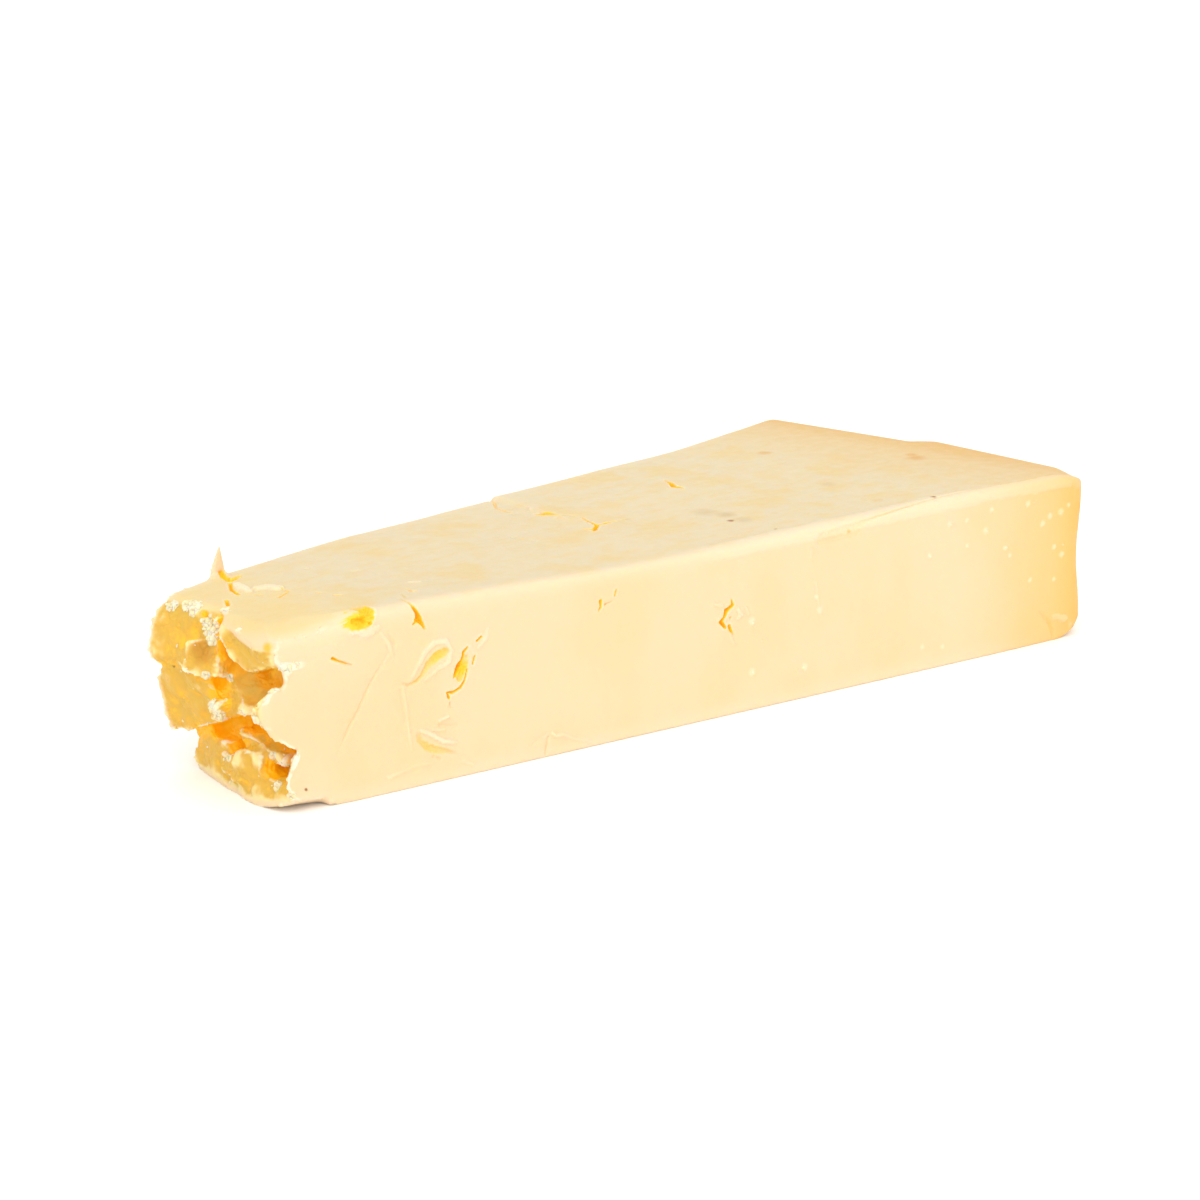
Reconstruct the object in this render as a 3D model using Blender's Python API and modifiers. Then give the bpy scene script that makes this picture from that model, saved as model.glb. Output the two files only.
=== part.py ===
"""A wedge-shaped block of mature cheddar, as it lies on a board.

Two knife-cut sides run from the rind, at +X, to a narrow end that was broken off by hand.
Metres, +Z up. The origin is under the middle of the block, on the face that it rests on.
"""

import math
import random

import bmesh
import bpy
from mathutils import Euler, Matrix, Vector, noise

MM = 0.001

# The slab, before it was broken and handled
LENGTH = 202 * MM
HEIGHT = 38 * MM
RIND_WIDTH = 89 * MM
BREAK_WIDTH = 39 * MM
CUT_EDGE_RADIUS = 1.6 * MM
SOLE_EDGE_SHARE = 0.5
SOLE_PRESS = 0.5 * MM
SOLE_ARCH = 0.04 * MM
TIP = -LENGTH / 2

# The break: the slab is whole up to here, and broken curd reaches past it
CORE_END = TIP + 8 * MM
LUMP_ROOT = TIP + 11 * MM
SLAB_END = TIP - 14 * MM

# How the slab has slumped, dried and rounded off
TOP_SAG = 1.4 * MM
SAG_MIDDLE = -5 * MM
SAG_REACH = 80 * MM
TOP_STEP = 0.7 * MM
STEP_LINE = -8.5 * MM
STEP_WIDTH = 2 * MM
STEP_FADE = 60 * MM
BACK_WAVE = 1.6 * MM
BACK_WAVE_CREST = -58 * MM
BACK_WAVE_LENGTH = 190 * MM
CUT_WAVE = 0.35 * MM
CUT_WAVE_LENGTH = 26 * MM
SOLE_EDGE = 6 * MM

# The worn corner, roll and lift at the broken end
TIP_CORNER = 8 * MM
TIP_CORNER_FULL = TIP + 4 * MM
TIP_CORNER_GONE = TIP + 24 * MM
TIP_ROLL = 1.0 * MM
TIP_LIFT = 1.8 * MM
TIP_FULL = TIP - 2 * MM
TIP_GONE = TIP + 16 * MM
LIFT_HEIGHT = 10 * MM
LIFT_FULL = -18 * MM
LIFT_GONE = -8 * MM

# The rind end: its front half stands out, its back half falls away, and it waves up and down
RIND_STAND = 3.7 * MM
RIND_FALL = 0.7 * MM
RIND_SLOPE = 0.16
RIND_STEP_FROM = -1 * MM
RIND_STEP_TO = 4 * MM
RIND_WAVE = 0.6 * MM
RIND_WAVE_MEAN = 0.25 * MM
RIND_WAVE_LENGTH = 28 * MM
RIND_WAVE_CREST = 5 * MM
RIND_REACH = 28 * MM
RIND_BACK_CORNER = 11 * MM
RIND_FRONT_CORNER = 6 * MM
RIND_SOLE_CORNER = 4.5 * MM

# Granules of the broken curd, and the depth of skin and length of tip where they fade
COARSE_GRANULE = 6.5 * MM
COARSE_RELIEF = 0.42 * MM
FINE_GRANULE = 2.6 * MM
FINE_RELIEF = 0.3 * MM
GRANULE_RIM = 0.6
SKIN_THIN = 0.6 * MM
SKIN_THICK = 2.2 * MM
BROKEN_UNTIL = TIP + 22 * MM
CUT_FROM = TIP + 30 * MM

# How far the lumps of curd swell to fuse across the gaps between them, before they shrink back
FUSE = 0.5 * MM

# The surface mesh
VOXEL = 0.65 * MM
SMOOTHING_ROUNDS = 4
EDGE_SEGMENTS = 3
CUTTER_SUBDIVISIONS = 3
CUTTER_FACETS = 14
CUTTER_CRISPNESS = 9
FACET_JITTER = 0.35
NEAREST_FACET = 0.78
MOST_TRIANGLES = 10000

# Lumps of curd at the break. Each row holds the outer corners of one lump in mm: inward from the tip (minus
# stands out past it), across (the front face is at -19.4 here) and up.
LUMPS = {
    "top_back": (
        (-7.2, 19.6, 27.4), (-5.9, 20.5, 33.0), (-3.4, 20.5, 35.4), (1.0, 20.5, 38.6),
        (-0.5, 13.6, 37.6), (0.0, 7.2, 36.2), (0.0, 3.0, 36.8), (-5.2, 15.8, 23.2),
        (-5.0, 11.0, 28.0), (-2.6, 5.5, 32.4), (3.0, 13.0, 39.5), (3.0, 5.0, 39.0),
    ),
    "left_middle": (
        (-5.6, 5.7, 32.0), (-2.0, 0.7, 33.7), (-3.0, -0.8, 27.2), (-4.0, -0.7, 25.1),
        (-5.0, 2.4, 24.1), (-6.6, 6.6, 25.4), (-6.8, 6.0, 28.0), (-5.8, 10.6, 25.7),
        (-5.2, 10.3, 28.4),
    ),
    "left_low": (
        (-5.2, 16.5, 23.6), (-4.6, 20.5, 19.4), (-1.9, 20.5, 8.3), (-1.0, 11.0, 10.4),
        (0.0, 3.7, 13.8), (-1.6, 1.8, 20.4), (-3.6, 4.2, 24.2), (-4.6, 9.5, 25.6), (-2.6, 11.0, 16.5),
    ),
    "crumb": (
        (-2.6, 4.9, 18.9), (-1.8, -0.8, 20.4), (-1.5, 0.3, 14.9), (-1.8, 4.7, 14.4),
        (-4.3, 1.2, 17.8),
    ),
    "rim_crumbs": (
        (-1.2, 7.0, 35.8), (-0.4, 2.6, 36.4), (-0.6, 2.8, 32.6), (-1.6, 5.6, 32.0), (-2.2, 4.6, 34.2),
    ),
    "centre": (
        (0.8, 3.0, 26.5), (7.4, -9.0, 25.5), (5.0, -10.0, 22.5), (-1.0, -6.9, 18.4),
        (0.0, 0.4, 15.7), (0.0, 3.3, 19.4), (0.6, -2.5, 23.0),
    ),
    "top_front": (
        (-2.8, -0.2, 34.9), (-3.0, -1.2, 32.8), (-3.6, -4.5, 30.6), (-3.0, -7.8, 28.0),
        (-2.8, -10.3, 27.8), (-2.2, -14.0, 29.6), (-0.9, -21.0, 31.3), (-2.4, -21.0, 33.4),
        (-3.4, -12.6, 34.8), (-3.0, -7.1, 36.0), (-1.6, -1.0, 37.2), (2.0, 1.5, 40.0),
        (0.0, -21.0, 38.0),
    ),
    "inner_curd": (
        (7.0, -15.0, 33.0), (7.0, -15.0, 6.0), (5.6, -8.0, 34.0), (5.6, -8.0, 4.0),
        (4.6, 14.0, 34.0), (4.6, 14.0, 4.0), (5.4, 18.5, 28.0), (5.4, 18.5, 8.0),
    ),
    "top_middle": (
        (1.5, -2.0, 40.0), (1.5, 8.0, 40.0), (0.8, 5.0, 34.0), (2.0, 0.0, 30.0),
        (2.0, 8.0, 28.0),
    ),
    "skin_upper": (
        (-1.0, -23.0, 38.0), (-2.2, -21.0, 31.2), (-1.8, -21.0, 27.6), (0.0, -17.4, 30.5),
        (0.2, -17.6, 26.5),
    ),
    "tongue": (
        (-3.8, -20.0, 27.4), (-4.8, -18.5, 24.6), (-7.2, -16.6, 22.2), (-6.2, -16.4, 19.8),
        (-4.2, -18.4, 17.0), (-2.0, -21.0, 13.6), (0.8, -21.0, 11.8), (-6.4, -14.2, 20.8),
        (-2.6, -15.6, 24.6), (-2.0, -15.2, 17.4),
    ),
    "skin_lower": (
        (0.8, -21.0, 13.0), (-0.8, -21.0, 8.9), (-1.8, -21.0, 6.8), (-2.8, -20.0, 4.4),
        (0.2, -21.0, 1.2), (1.6, -17.0, 12.0), (0.6, -16.8, 5.0),
    ),
    "ridge": (
        (1.6, 1.0, 12.9), (1.0, -7.3, 11.9), (0.9, -13.8, 10.0), (2.4, -1.0, 9.6),
        (2.4, -9.0, 8.6), (1.8, -14.0, 8.0),
    ),
    "foot_middle": (
        (0.4, 4.3, 6.3), (-1.0, -5.1, 10.5), (0.2, -9.4, 9.9), (-1.0, -9.8, 5.4),
        (-2.0, -3.4, 2.6), (-0.8, 3.4, 3.4), (-2.2, -4.0, 7.0),
    ),
    "foot_back": (
        (3.2, 17.0, 8.6), (3.0, 17.2, 3.0), (3.6, 17.0, -1.0), (1.6, 10.4, 0.6),
        (-0.4, 0.0, -1.0), (0.4, 0.4, 4.6), (0.8, 3.0, 9.4), (1.2, 10.0, 9.8), (0.6, 9.4, 5.0),
    ),
    "foot_front": (
        (-2.2, -8.0, 2.6), (-1.9, -9.8, -1.0), (-1.6, -16.0, -1.0), (0.4, -21.0, 1.6),
        (-0.4, -12.4, 5.6), (-1.2, -3.0, -1.0), (0.6, 3.0, -1.0), (0.5, -17.0, 4.6),
        (1.2, -8.0, 7.0),
    ),
}

# A flake that stands up from the back edge near the break, in the same terms
FLAKE = (
    (10.4, 19.0, 35.0), (14.8, 20.2, 35.0), (10.6, 20.6, 35.0), (14.4, 18.8, 35.0),
    (11.0, 19.2, 40.0), (14.0, 20.2, 40.4), (11.2, 20.4, 40.0), (13.8, 19.2, 40.4),
    (12.9, 19.2, 46.0), (13.7, 20.4, 46.4),
)

# Holes and cracks in the front face: along from mid-length and up in mm, then length, width and depth in mm
# and lean in degrees
FRONT_CRACKS = (
    (-62.2, 22.3, 8.5, 2.2, 3.5, 62),
    (-59.6, 26.6, 4.6, 1.6, 2.4, 60),
    (-65.0, 16.2, 4.6, 1.5, 2.4, 84),
    (-71.6, 35.2, 7.5, 1.7, 2.8, -66),
    (-83.6, 36.4, 4.2, 3.6, 2.6, 80),
    (4.4, 24.4, 3.8, 1.7, 2.6, 58),
    (2.2, 22.0, 4.2, 1.7, 2.8, 102),
    (3.8, 19.4, 3.6, 1.6, 2.6, -50),
    (-28.6, 30.3, 2.8, 1.6, 2.2, 64),
)

# Cracks in the top: along and across in mm, then length, width and depth in mm and heading in degrees
TOP_CRACKS = (
    (-7.6, 0.0, 9.0, 1.6, 2.6, 78),
    (-5.4, -3.6, 6.0, 1.5, 2.2, 12),
    (29.7, 12.0, 9.5, 1.6, 2.2, 72),
)


def clear_scene():
    for old in list(bpy.data.objects):
        bpy.data.objects.remove(old)


def new_collection(name):
    collection = bpy.data.collections.new(name)
    bpy.context.scene.collection.children.link(collection)
    return collection


def add_object(name, bm, collection):
    mesh = bpy.data.meshes.new(name)
    bm.to_mesh(mesh)
    bm.free()
    obj = bpy.data.objects.new(name, mesh)
    collection.objects.link(obj)
    return obj


def bake_modifiers(obj):
    """Turns an object's modifiers into its own mesh."""
    graph = bpy.context.evaluated_depsgraph_get()
    baked = bpy.data.meshes.new_from_object(obj.evaluated_get(graph))
    obj.modifiers.clear()
    obj.data = baked


def half_width(x):
    """Half of the slab's width at a place along it."""
    share = (x - TIP) / LENGTH
    return (BREAK_WIDTH + (RIND_WIDTH - BREAK_WIDTH) * share) / 2


def ease(low, high, value):
    """0 below low and 1 above high, with a smooth rise between them."""
    share = min(1.0, max(0.0, (value - low) / (high - low)))
    return share * share * (3 - 2 * share)


def make_slab(name, collection):
    """The knife-cut slab with softened edges, drawn on past the break.

    The edges that it rests on are sharper, and it starts a little low, to be pressed flat in the end.
    """
    bm = bmesh.new()
    bmesh.ops.create_cube(bm, size=1)
    roundness = bm.edges.layers.float.new("bevel_weight_edge")
    for edge in bm.edges:
        edge[roundness] = SOLE_EDGE_SHARE if max(vert.co.z for vert in edge.verts) < 0 else 1
    for vert in bm.verts:
        x = LENGTH / 2 if vert.co.x > 0 else SLAB_END
        y = math.copysign(half_width(x), vert.co.y)
        z = HEIGHT if vert.co.z > 0 else -SOLE_PRESS
        vert.co = (x, y, z)
    slab = add_object(name, bm, collection)
    soften = slab.modifiers.new("soft_edges", "BEVEL")
    soften.limit_method = "WEIGHT"
    soften.width = CUT_EDGE_RADIUS
    soften.segments = EDGE_SEGMENTS
    bake_modifiers(slab)
    return slab


def make_core(name, collection):
    """A plain box, larger than the slab all round, that ends where the slab is still whole."""
    bm = bmesh.new()
    bmesh.ops.create_cube(bm, size=1)
    size = (LENGTH, RIND_WIDTH + 4 * CUT_EDGE_RADIUS, HEIGHT + 4 * CUT_EDGE_RADIUS)
    bm.transform(Matrix.Translation((CORE_END + size[0] / 2, 0, HEIGHT / 2)) @ Matrix.Diagonal((*size, 1)))
    return add_object(name, bm, collection)


def facet_planes(draw):
    """Normals spread round a ball, each with its own reach: the faces of one cutter."""
    planes = []
    for index in range(CUTTER_FACETS):
        up = 1 - (2 * index + 1) / CUTTER_FACETS
        angle = index * math.pi * (3 - math.sqrt(5))
        round_it = math.sqrt(1 - up * up)
        normal = Vector((round_it * math.cos(angle), round_it * math.sin(angle), up))
        normal += Vector([draw.uniform(-FACET_JITTER, FACET_JITTER) for _ in range(3)])
        planes.append((normal.normalized(), draw.uniform(NEAREST_FACET, 1.0)))
    return planes


def make_cutter(name, middle, radii, turn, collection):
    """A rounded, many-sided cutter. Its name seeds its faces."""
    planes = facet_planes(random.Random(name))
    bm = bmesh.new()
    bmesh.ops.create_icosphere(bm, subdivisions=CUTTER_SUBDIVISIONS, radius=1)
    for vert in bm.verts:
        out = vert.co.normalized()
        near = sum(max(0.0, out.dot(normal) / reach) ** CUTTER_CRISPNESS for normal, reach in planes)
        vert.co = out * near ** (-1 / CUTTER_CRISPNESS)
    size = Matrix.Diagonal((*(radius * MM for radius in radii), 1))
    tilt = Euler([math.radians(angle) for angle in turn]).to_matrix().to_4x4()
    place = Matrix.Translation([value * MM for value in middle])
    bm.transform(place @ tilt @ size)
    return add_object(name, bm, collection)


def make_lump(name, corners, root, collection):
    """The many-sided lump that its corners span, with the same outline again at its root."""
    bm = bmesh.new()
    for inward, across, up in corners:
        bm.verts.new((TIP + inward * MM, across * MM, up * MM))
        if root is not None:
            bm.verts.new((root, across * MM, up * MM))
    hull = bmesh.ops.convex_hull(bm, input=bm.verts)
    inside = [vert for vert in hull["geom_interior"] if isinstance(vert, bmesh.types.BMVert)]
    bmesh.ops.delete(bm, geom=inside, context="VERTS")
    return add_object(name, bm, collection)


def combine(obj, collection, operation):
    """One Boolean of the object with everything in a collection, which is then removed."""
    join = obj.modifiers.new(operation.lower(), "BOOLEAN")
    join.operation = operation
    join.operand_type = "COLLECTION"
    join.collection = collection
    join.solver = "EXACT"
    bake_modifiers(obj)
    for used in list(collection.objects):
        bpy.data.objects.remove(used)
    bpy.data.collections.remove(collection)


def make_cracks(collection):
    """Cutters for the holes and cracks in the front face and in the top."""
    for number, (along, up, length, width, depth, lean) in enumerate(FRONT_CRACKS):
        across = -half_width(along * MM) / MM
        make_cutter(
            f"front_crack_{number}",
            (along, across, up),
            (length / 2, depth, width / 2),
            (0, -lean, 0),
            collection,
        )
    for number, (along, across, length, width, depth, heading) in enumerate(TOP_CRACKS):
        make_cutter(
            f"top_crack_{number}",
            (along, across, HEIGHT / MM),
            (length / 2, width / 2, depth),
            (0, 0, heading),
            collection,
        )


def add_skin(obj):
    """One even skin of small faces over everything."""
    skin = obj.modifiers.new("skin", "REMESH")
    skin.mode = "VOXEL"
    skin.voxel_size = VOXEL


def fuse_curd(obj):
    """Swells the block and shrinks it again, which fills the narrow gaps between the lumps."""
    add_skin(obj)
    for name, reach in (("swell", FUSE), ("shrink", -FUSE)):
        move = obj.modifiers.new(name, "DISPLACE")
        move.strength = reach
        move.mid_level = 0
        add_skin(obj)
    soften = obj.modifiers.new("soften", "SMOOTH")
    soften.iterations = SMOOTHING_ROUNDS
    bake_modifiers(obj)


def skin_depth(co):
    """How far a point lies under the nearest of the slab's four long faces."""
    return min(co.z, HEIGHT - co.z, half_width(co.x) - abs(co.y))


def granule(co, size):
    """-0.5 in the joins between granules of a size, and 0.5 in their middles."""
    near = noise.voronoi(co / size)[0]
    return min(near[1] - near[0], GRANULE_RIM) / GRANULE_RIM - 0.5


def crumble(co):
    """How far broken curd stands out at a point."""
    coarse = COARSE_RELIEF * granule(co, COARSE_GRANULE)
    return coarse + FINE_RELIEF * granule(co, FINE_GRANULE)


def weather(obj):
    """Roughens what is broken and gives the cut faces their faint waves. The sole stays even."""
    bm = bmesh.new()
    bm.from_mesh(obj.data)
    bm.normal_update()
    moves = []
    for vert in bm.verts:
        broken = ease(SKIN_THIN, SKIN_THICK, skin_depth(vert.co))
        broken *= 1 - ease(BROKEN_UNTIL, CUT_FROM, vert.co.x)
        wave = CUT_WAVE * noise.noise(vert.co / CUT_WAVE_LENGTH) * ease(0, SOLE_EDGE, vert.co.z)
        moves.append(vert.normal * (wave + broken * crumble(vert.co)))
    for vert, move in zip(bm.verts, moves):
        vert.co += move
    bm.to_mesh(obj.data)
    bm.free()


def worn_corner(radius, depth_a, depth_b):
    """How far a point near a square corner moves in from each of its two faces to round it off."""
    inset_a = radius - depth_a
    inset_b = radius - depth_b
    reach = math.hypot(inset_a, inset_b)
    if min(inset_a, inset_b) <= 0 or reach <= radius:
        return 0.0, 0.0
    pull = 1 - radius / reach
    return inset_a * pull, inset_b * pull


def settle_tip(co):
    """Wears the front top edge round towards the break, rolls the top down and lifts the front lower edge."""
    radius = TIP_CORNER * (1 - ease(TIP_CORNER_FULL, TIP_CORNER_GONE, co.x))
    inward, down = worn_corner(radius, half_width(co.x) + co.y, HEIGHT - co.z)
    co.y += inward
    near = 1 - ease(TIP_FULL, TIP_GONE, co.x)
    lift = TIP_LIFT * (1 - ease(LIFT_FULL, LIFT_GONE, co.y)) * (1 - ease(0, LIFT_HEIGHT, co.z))
    co.z += near * (lift - TIP_ROLL * (co.z / HEIGHT) ** 2) - down


def settle_rind(co):
    """Rounds the corners of the rind end, then sets its front half out, its back half in and waves it."""
    end_depth = LENGTH / 2 - co.x
    back_in, back_end = worn_corner(RIND_BACK_CORNER, half_width(co.x) - co.y, end_depth)
    front_in, front_end = worn_corner(RIND_FRONT_CORNER, half_width(co.x) + co.y, end_depth)
    sole_up, sole_end = worn_corner(RIND_SOLE_CORNER, co.z, end_depth)
    co.y += front_in - back_in
    co.z += sole_up
    co.x -= max(front_end + back_end, sole_end)
    back_half = ease(RIND_STEP_FROM, RIND_STEP_TO, co.y)
    fall = RIND_FALL + RIND_SLOPE * (co.y - RIND_STEP_TO)
    stand = RIND_STAND - back_half * (RIND_STAND + fall)
    wave = RIND_WAVE_MEAN + RIND_WAVE * math.cos(2 * math.pi * (co.z - RIND_WAVE_CREST) / RIND_WAVE_LENGTH)
    co.x += ease(LENGTH / 2 - RIND_REACH, LENGTH / 2, co.x) * (stand + wave)


def settle_length(co):
    """Sags the top towards the front, steps it along a crack and gives the back face its long wave."""
    share = min(1.0, co.z / HEIGHT) ** 2
    frontward = min(1.0, max(0.0, 0.5 - co.y / (2 * half_width(co.x))))
    co.z -= share * frontward * TOP_SAG * (1 - ease(0, SAG_REACH, abs(co.x - SAG_MIDDLE)))
    step = ease(0, STEP_WIDTH, co.x - STEP_LINE) * (1 - ease(0, STEP_FADE, co.x - STEP_LINE))
    co.z += share * TOP_STEP * step * ease(STEP_WIDTH, 5 * STEP_WIDTH, co.y)
    turn = 2 * math.pi * (co.x - BACK_WAVE_CREST) / BACK_WAVE_LENGTH
    co.y += BACK_WAVE * math.cos(turn) * max(0.0, co.y / half_width(co.x))


def settle_sole(co):
    """Presses the underside flat, but for a hair's arch, so that it rests on its four corners."""
    endward = min(1.0, abs(co.x) / (LENGTH / 2))
    outward = min(1.0, abs(co.y) / half_width(co.x))
    co.z = max(co.z, SOLE_ARCH * (1 - (endward * outward) ** 2))


def settle(obj):
    """Slumps the slab as a whole onto what it stands on."""
    for vert in obj.data.vertices:
        settle_tip(vert.co)
        settle_rind(vert.co)
        settle_length(vert.co)
        settle_sole(vert.co)


def thin_out(obj):
    """Leaves few triangles on the even faces and keeps them for the break."""
    triangles = sum(len(face.vertices) - 2 for face in obj.data.polygons)
    fewer = obj.modifiers.new("fewer_triangles", "DECIMATE")
    fewer.ratio = MOST_TRIANGLES / triangles


def stand_on_origin(obj):
    """Puts the middle of the block over the origin."""
    graph = bpy.context.evaluated_depsgraph_get()
    corners = [Vector(corner) for corner in obj.evaluated_get(graph).bound_box]
    low = Vector(map(min, zip(*corners)))
    high = Vector(map(max, zip(*corners)))
    middle = (low + high) / 2
    obj.location = (-middle.x, -middle.y, -low.z)


def cheese_material():
    material = bpy.data.materials.new("cheddar")
    material.use_nodes = True
    shader = material.node_tree.nodes["Principled BSDF"]
    shader.inputs["Base Color"].default_value = (0.95, 0.76, 0.42, 1)
    shader.inputs["Roughness"].default_value = 0.45
    shader.inputs["Metallic"].default_value = 0
    return material


def main():
    clear_scene()
    block = new_collection("cheddar_block")
    wedge = make_slab("cheddar_wedge", block)
    curd = new_collection("curd")
    core = make_core("core", curd)
    lumps = new_collection("lumps")
    for name, corners in LUMPS.items():
        make_lump(name, corners, LUMP_ROOT, lumps)
    combine(core, lumps, "UNION")
    combine(wedge, curd, "INTERSECT")
    flakes = new_collection("flakes")
    make_lump("flake", FLAKE, None, flakes)
    combine(wedge, flakes, "UNION")
    hollows = new_collection("hollows")
    make_cracks(hollows)
    combine(wedge, hollows, "DIFFERENCE")
    fuse_curd(wedge)
    weather(wedge)
    settle(wedge)
    thin_out(wedge)
    stand_on_origin(wedge)
    wedge.data.materials.clear()
    wedge.data.materials.append(cheese_material())


main()
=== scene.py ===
"""The cheddar block as it looks: knife-cut faces, a crumbling broken end, a dry rind end, on a white studio floor."""
import math
import random

import bmesh
import bpy
import numpy as np
from mathutils import Matrix, Vector, noise
from mathutils.bvhtree import BVHTree


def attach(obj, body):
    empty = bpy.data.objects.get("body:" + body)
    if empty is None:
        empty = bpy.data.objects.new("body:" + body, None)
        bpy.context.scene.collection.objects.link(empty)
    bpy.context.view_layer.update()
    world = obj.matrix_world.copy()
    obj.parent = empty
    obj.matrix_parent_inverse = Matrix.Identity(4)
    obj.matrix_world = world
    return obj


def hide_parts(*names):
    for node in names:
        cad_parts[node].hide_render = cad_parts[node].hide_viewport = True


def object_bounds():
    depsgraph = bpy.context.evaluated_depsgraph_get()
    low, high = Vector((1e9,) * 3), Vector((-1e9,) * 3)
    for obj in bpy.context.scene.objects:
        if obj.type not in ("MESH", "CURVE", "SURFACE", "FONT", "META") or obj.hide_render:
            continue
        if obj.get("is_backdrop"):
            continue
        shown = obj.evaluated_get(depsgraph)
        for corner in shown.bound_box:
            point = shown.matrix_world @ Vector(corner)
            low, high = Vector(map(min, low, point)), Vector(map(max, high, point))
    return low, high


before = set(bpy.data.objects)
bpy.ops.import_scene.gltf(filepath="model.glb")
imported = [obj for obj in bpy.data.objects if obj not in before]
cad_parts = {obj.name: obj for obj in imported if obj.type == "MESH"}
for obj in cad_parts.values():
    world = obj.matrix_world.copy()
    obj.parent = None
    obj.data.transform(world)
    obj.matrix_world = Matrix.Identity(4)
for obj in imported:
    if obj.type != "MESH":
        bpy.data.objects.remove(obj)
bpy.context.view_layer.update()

# The block of cheddar. It was cut from a tall round with a knife or wire on its long faces, keeps the round's
# dry outer face at +X, and was broken by hand at -X, where the pressed curds came apart along their joins.
# Its sizes are those of the CAD solid that it replaces, and its mesh is finer.
MM = 0.001
LENGTH = 202 * MM
HEIGHT = 38 * MM
RIND_WIDTH = 89 * MM
BREAK_WIDTH = 39 * MM
CUT_EDGE_RADIUS = 1.6 * MM
SOLE_EDGE_SHARE = 0.5
SOLE_PRESS = 0.5 * MM
TIP = -LENGTH / 2
CORE_END = TIP + 8 * MM
LUMP_ROOT = TIP + 11 * MM
SLAB_END = TIP - 14 * MM
FUSE = 0.5 * MM
PLACE = Vector((0.98, 0.22, 0.0)) * MM
VOXEL = 0.42 * MM
MOST_TRIANGLES = 190000

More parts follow.
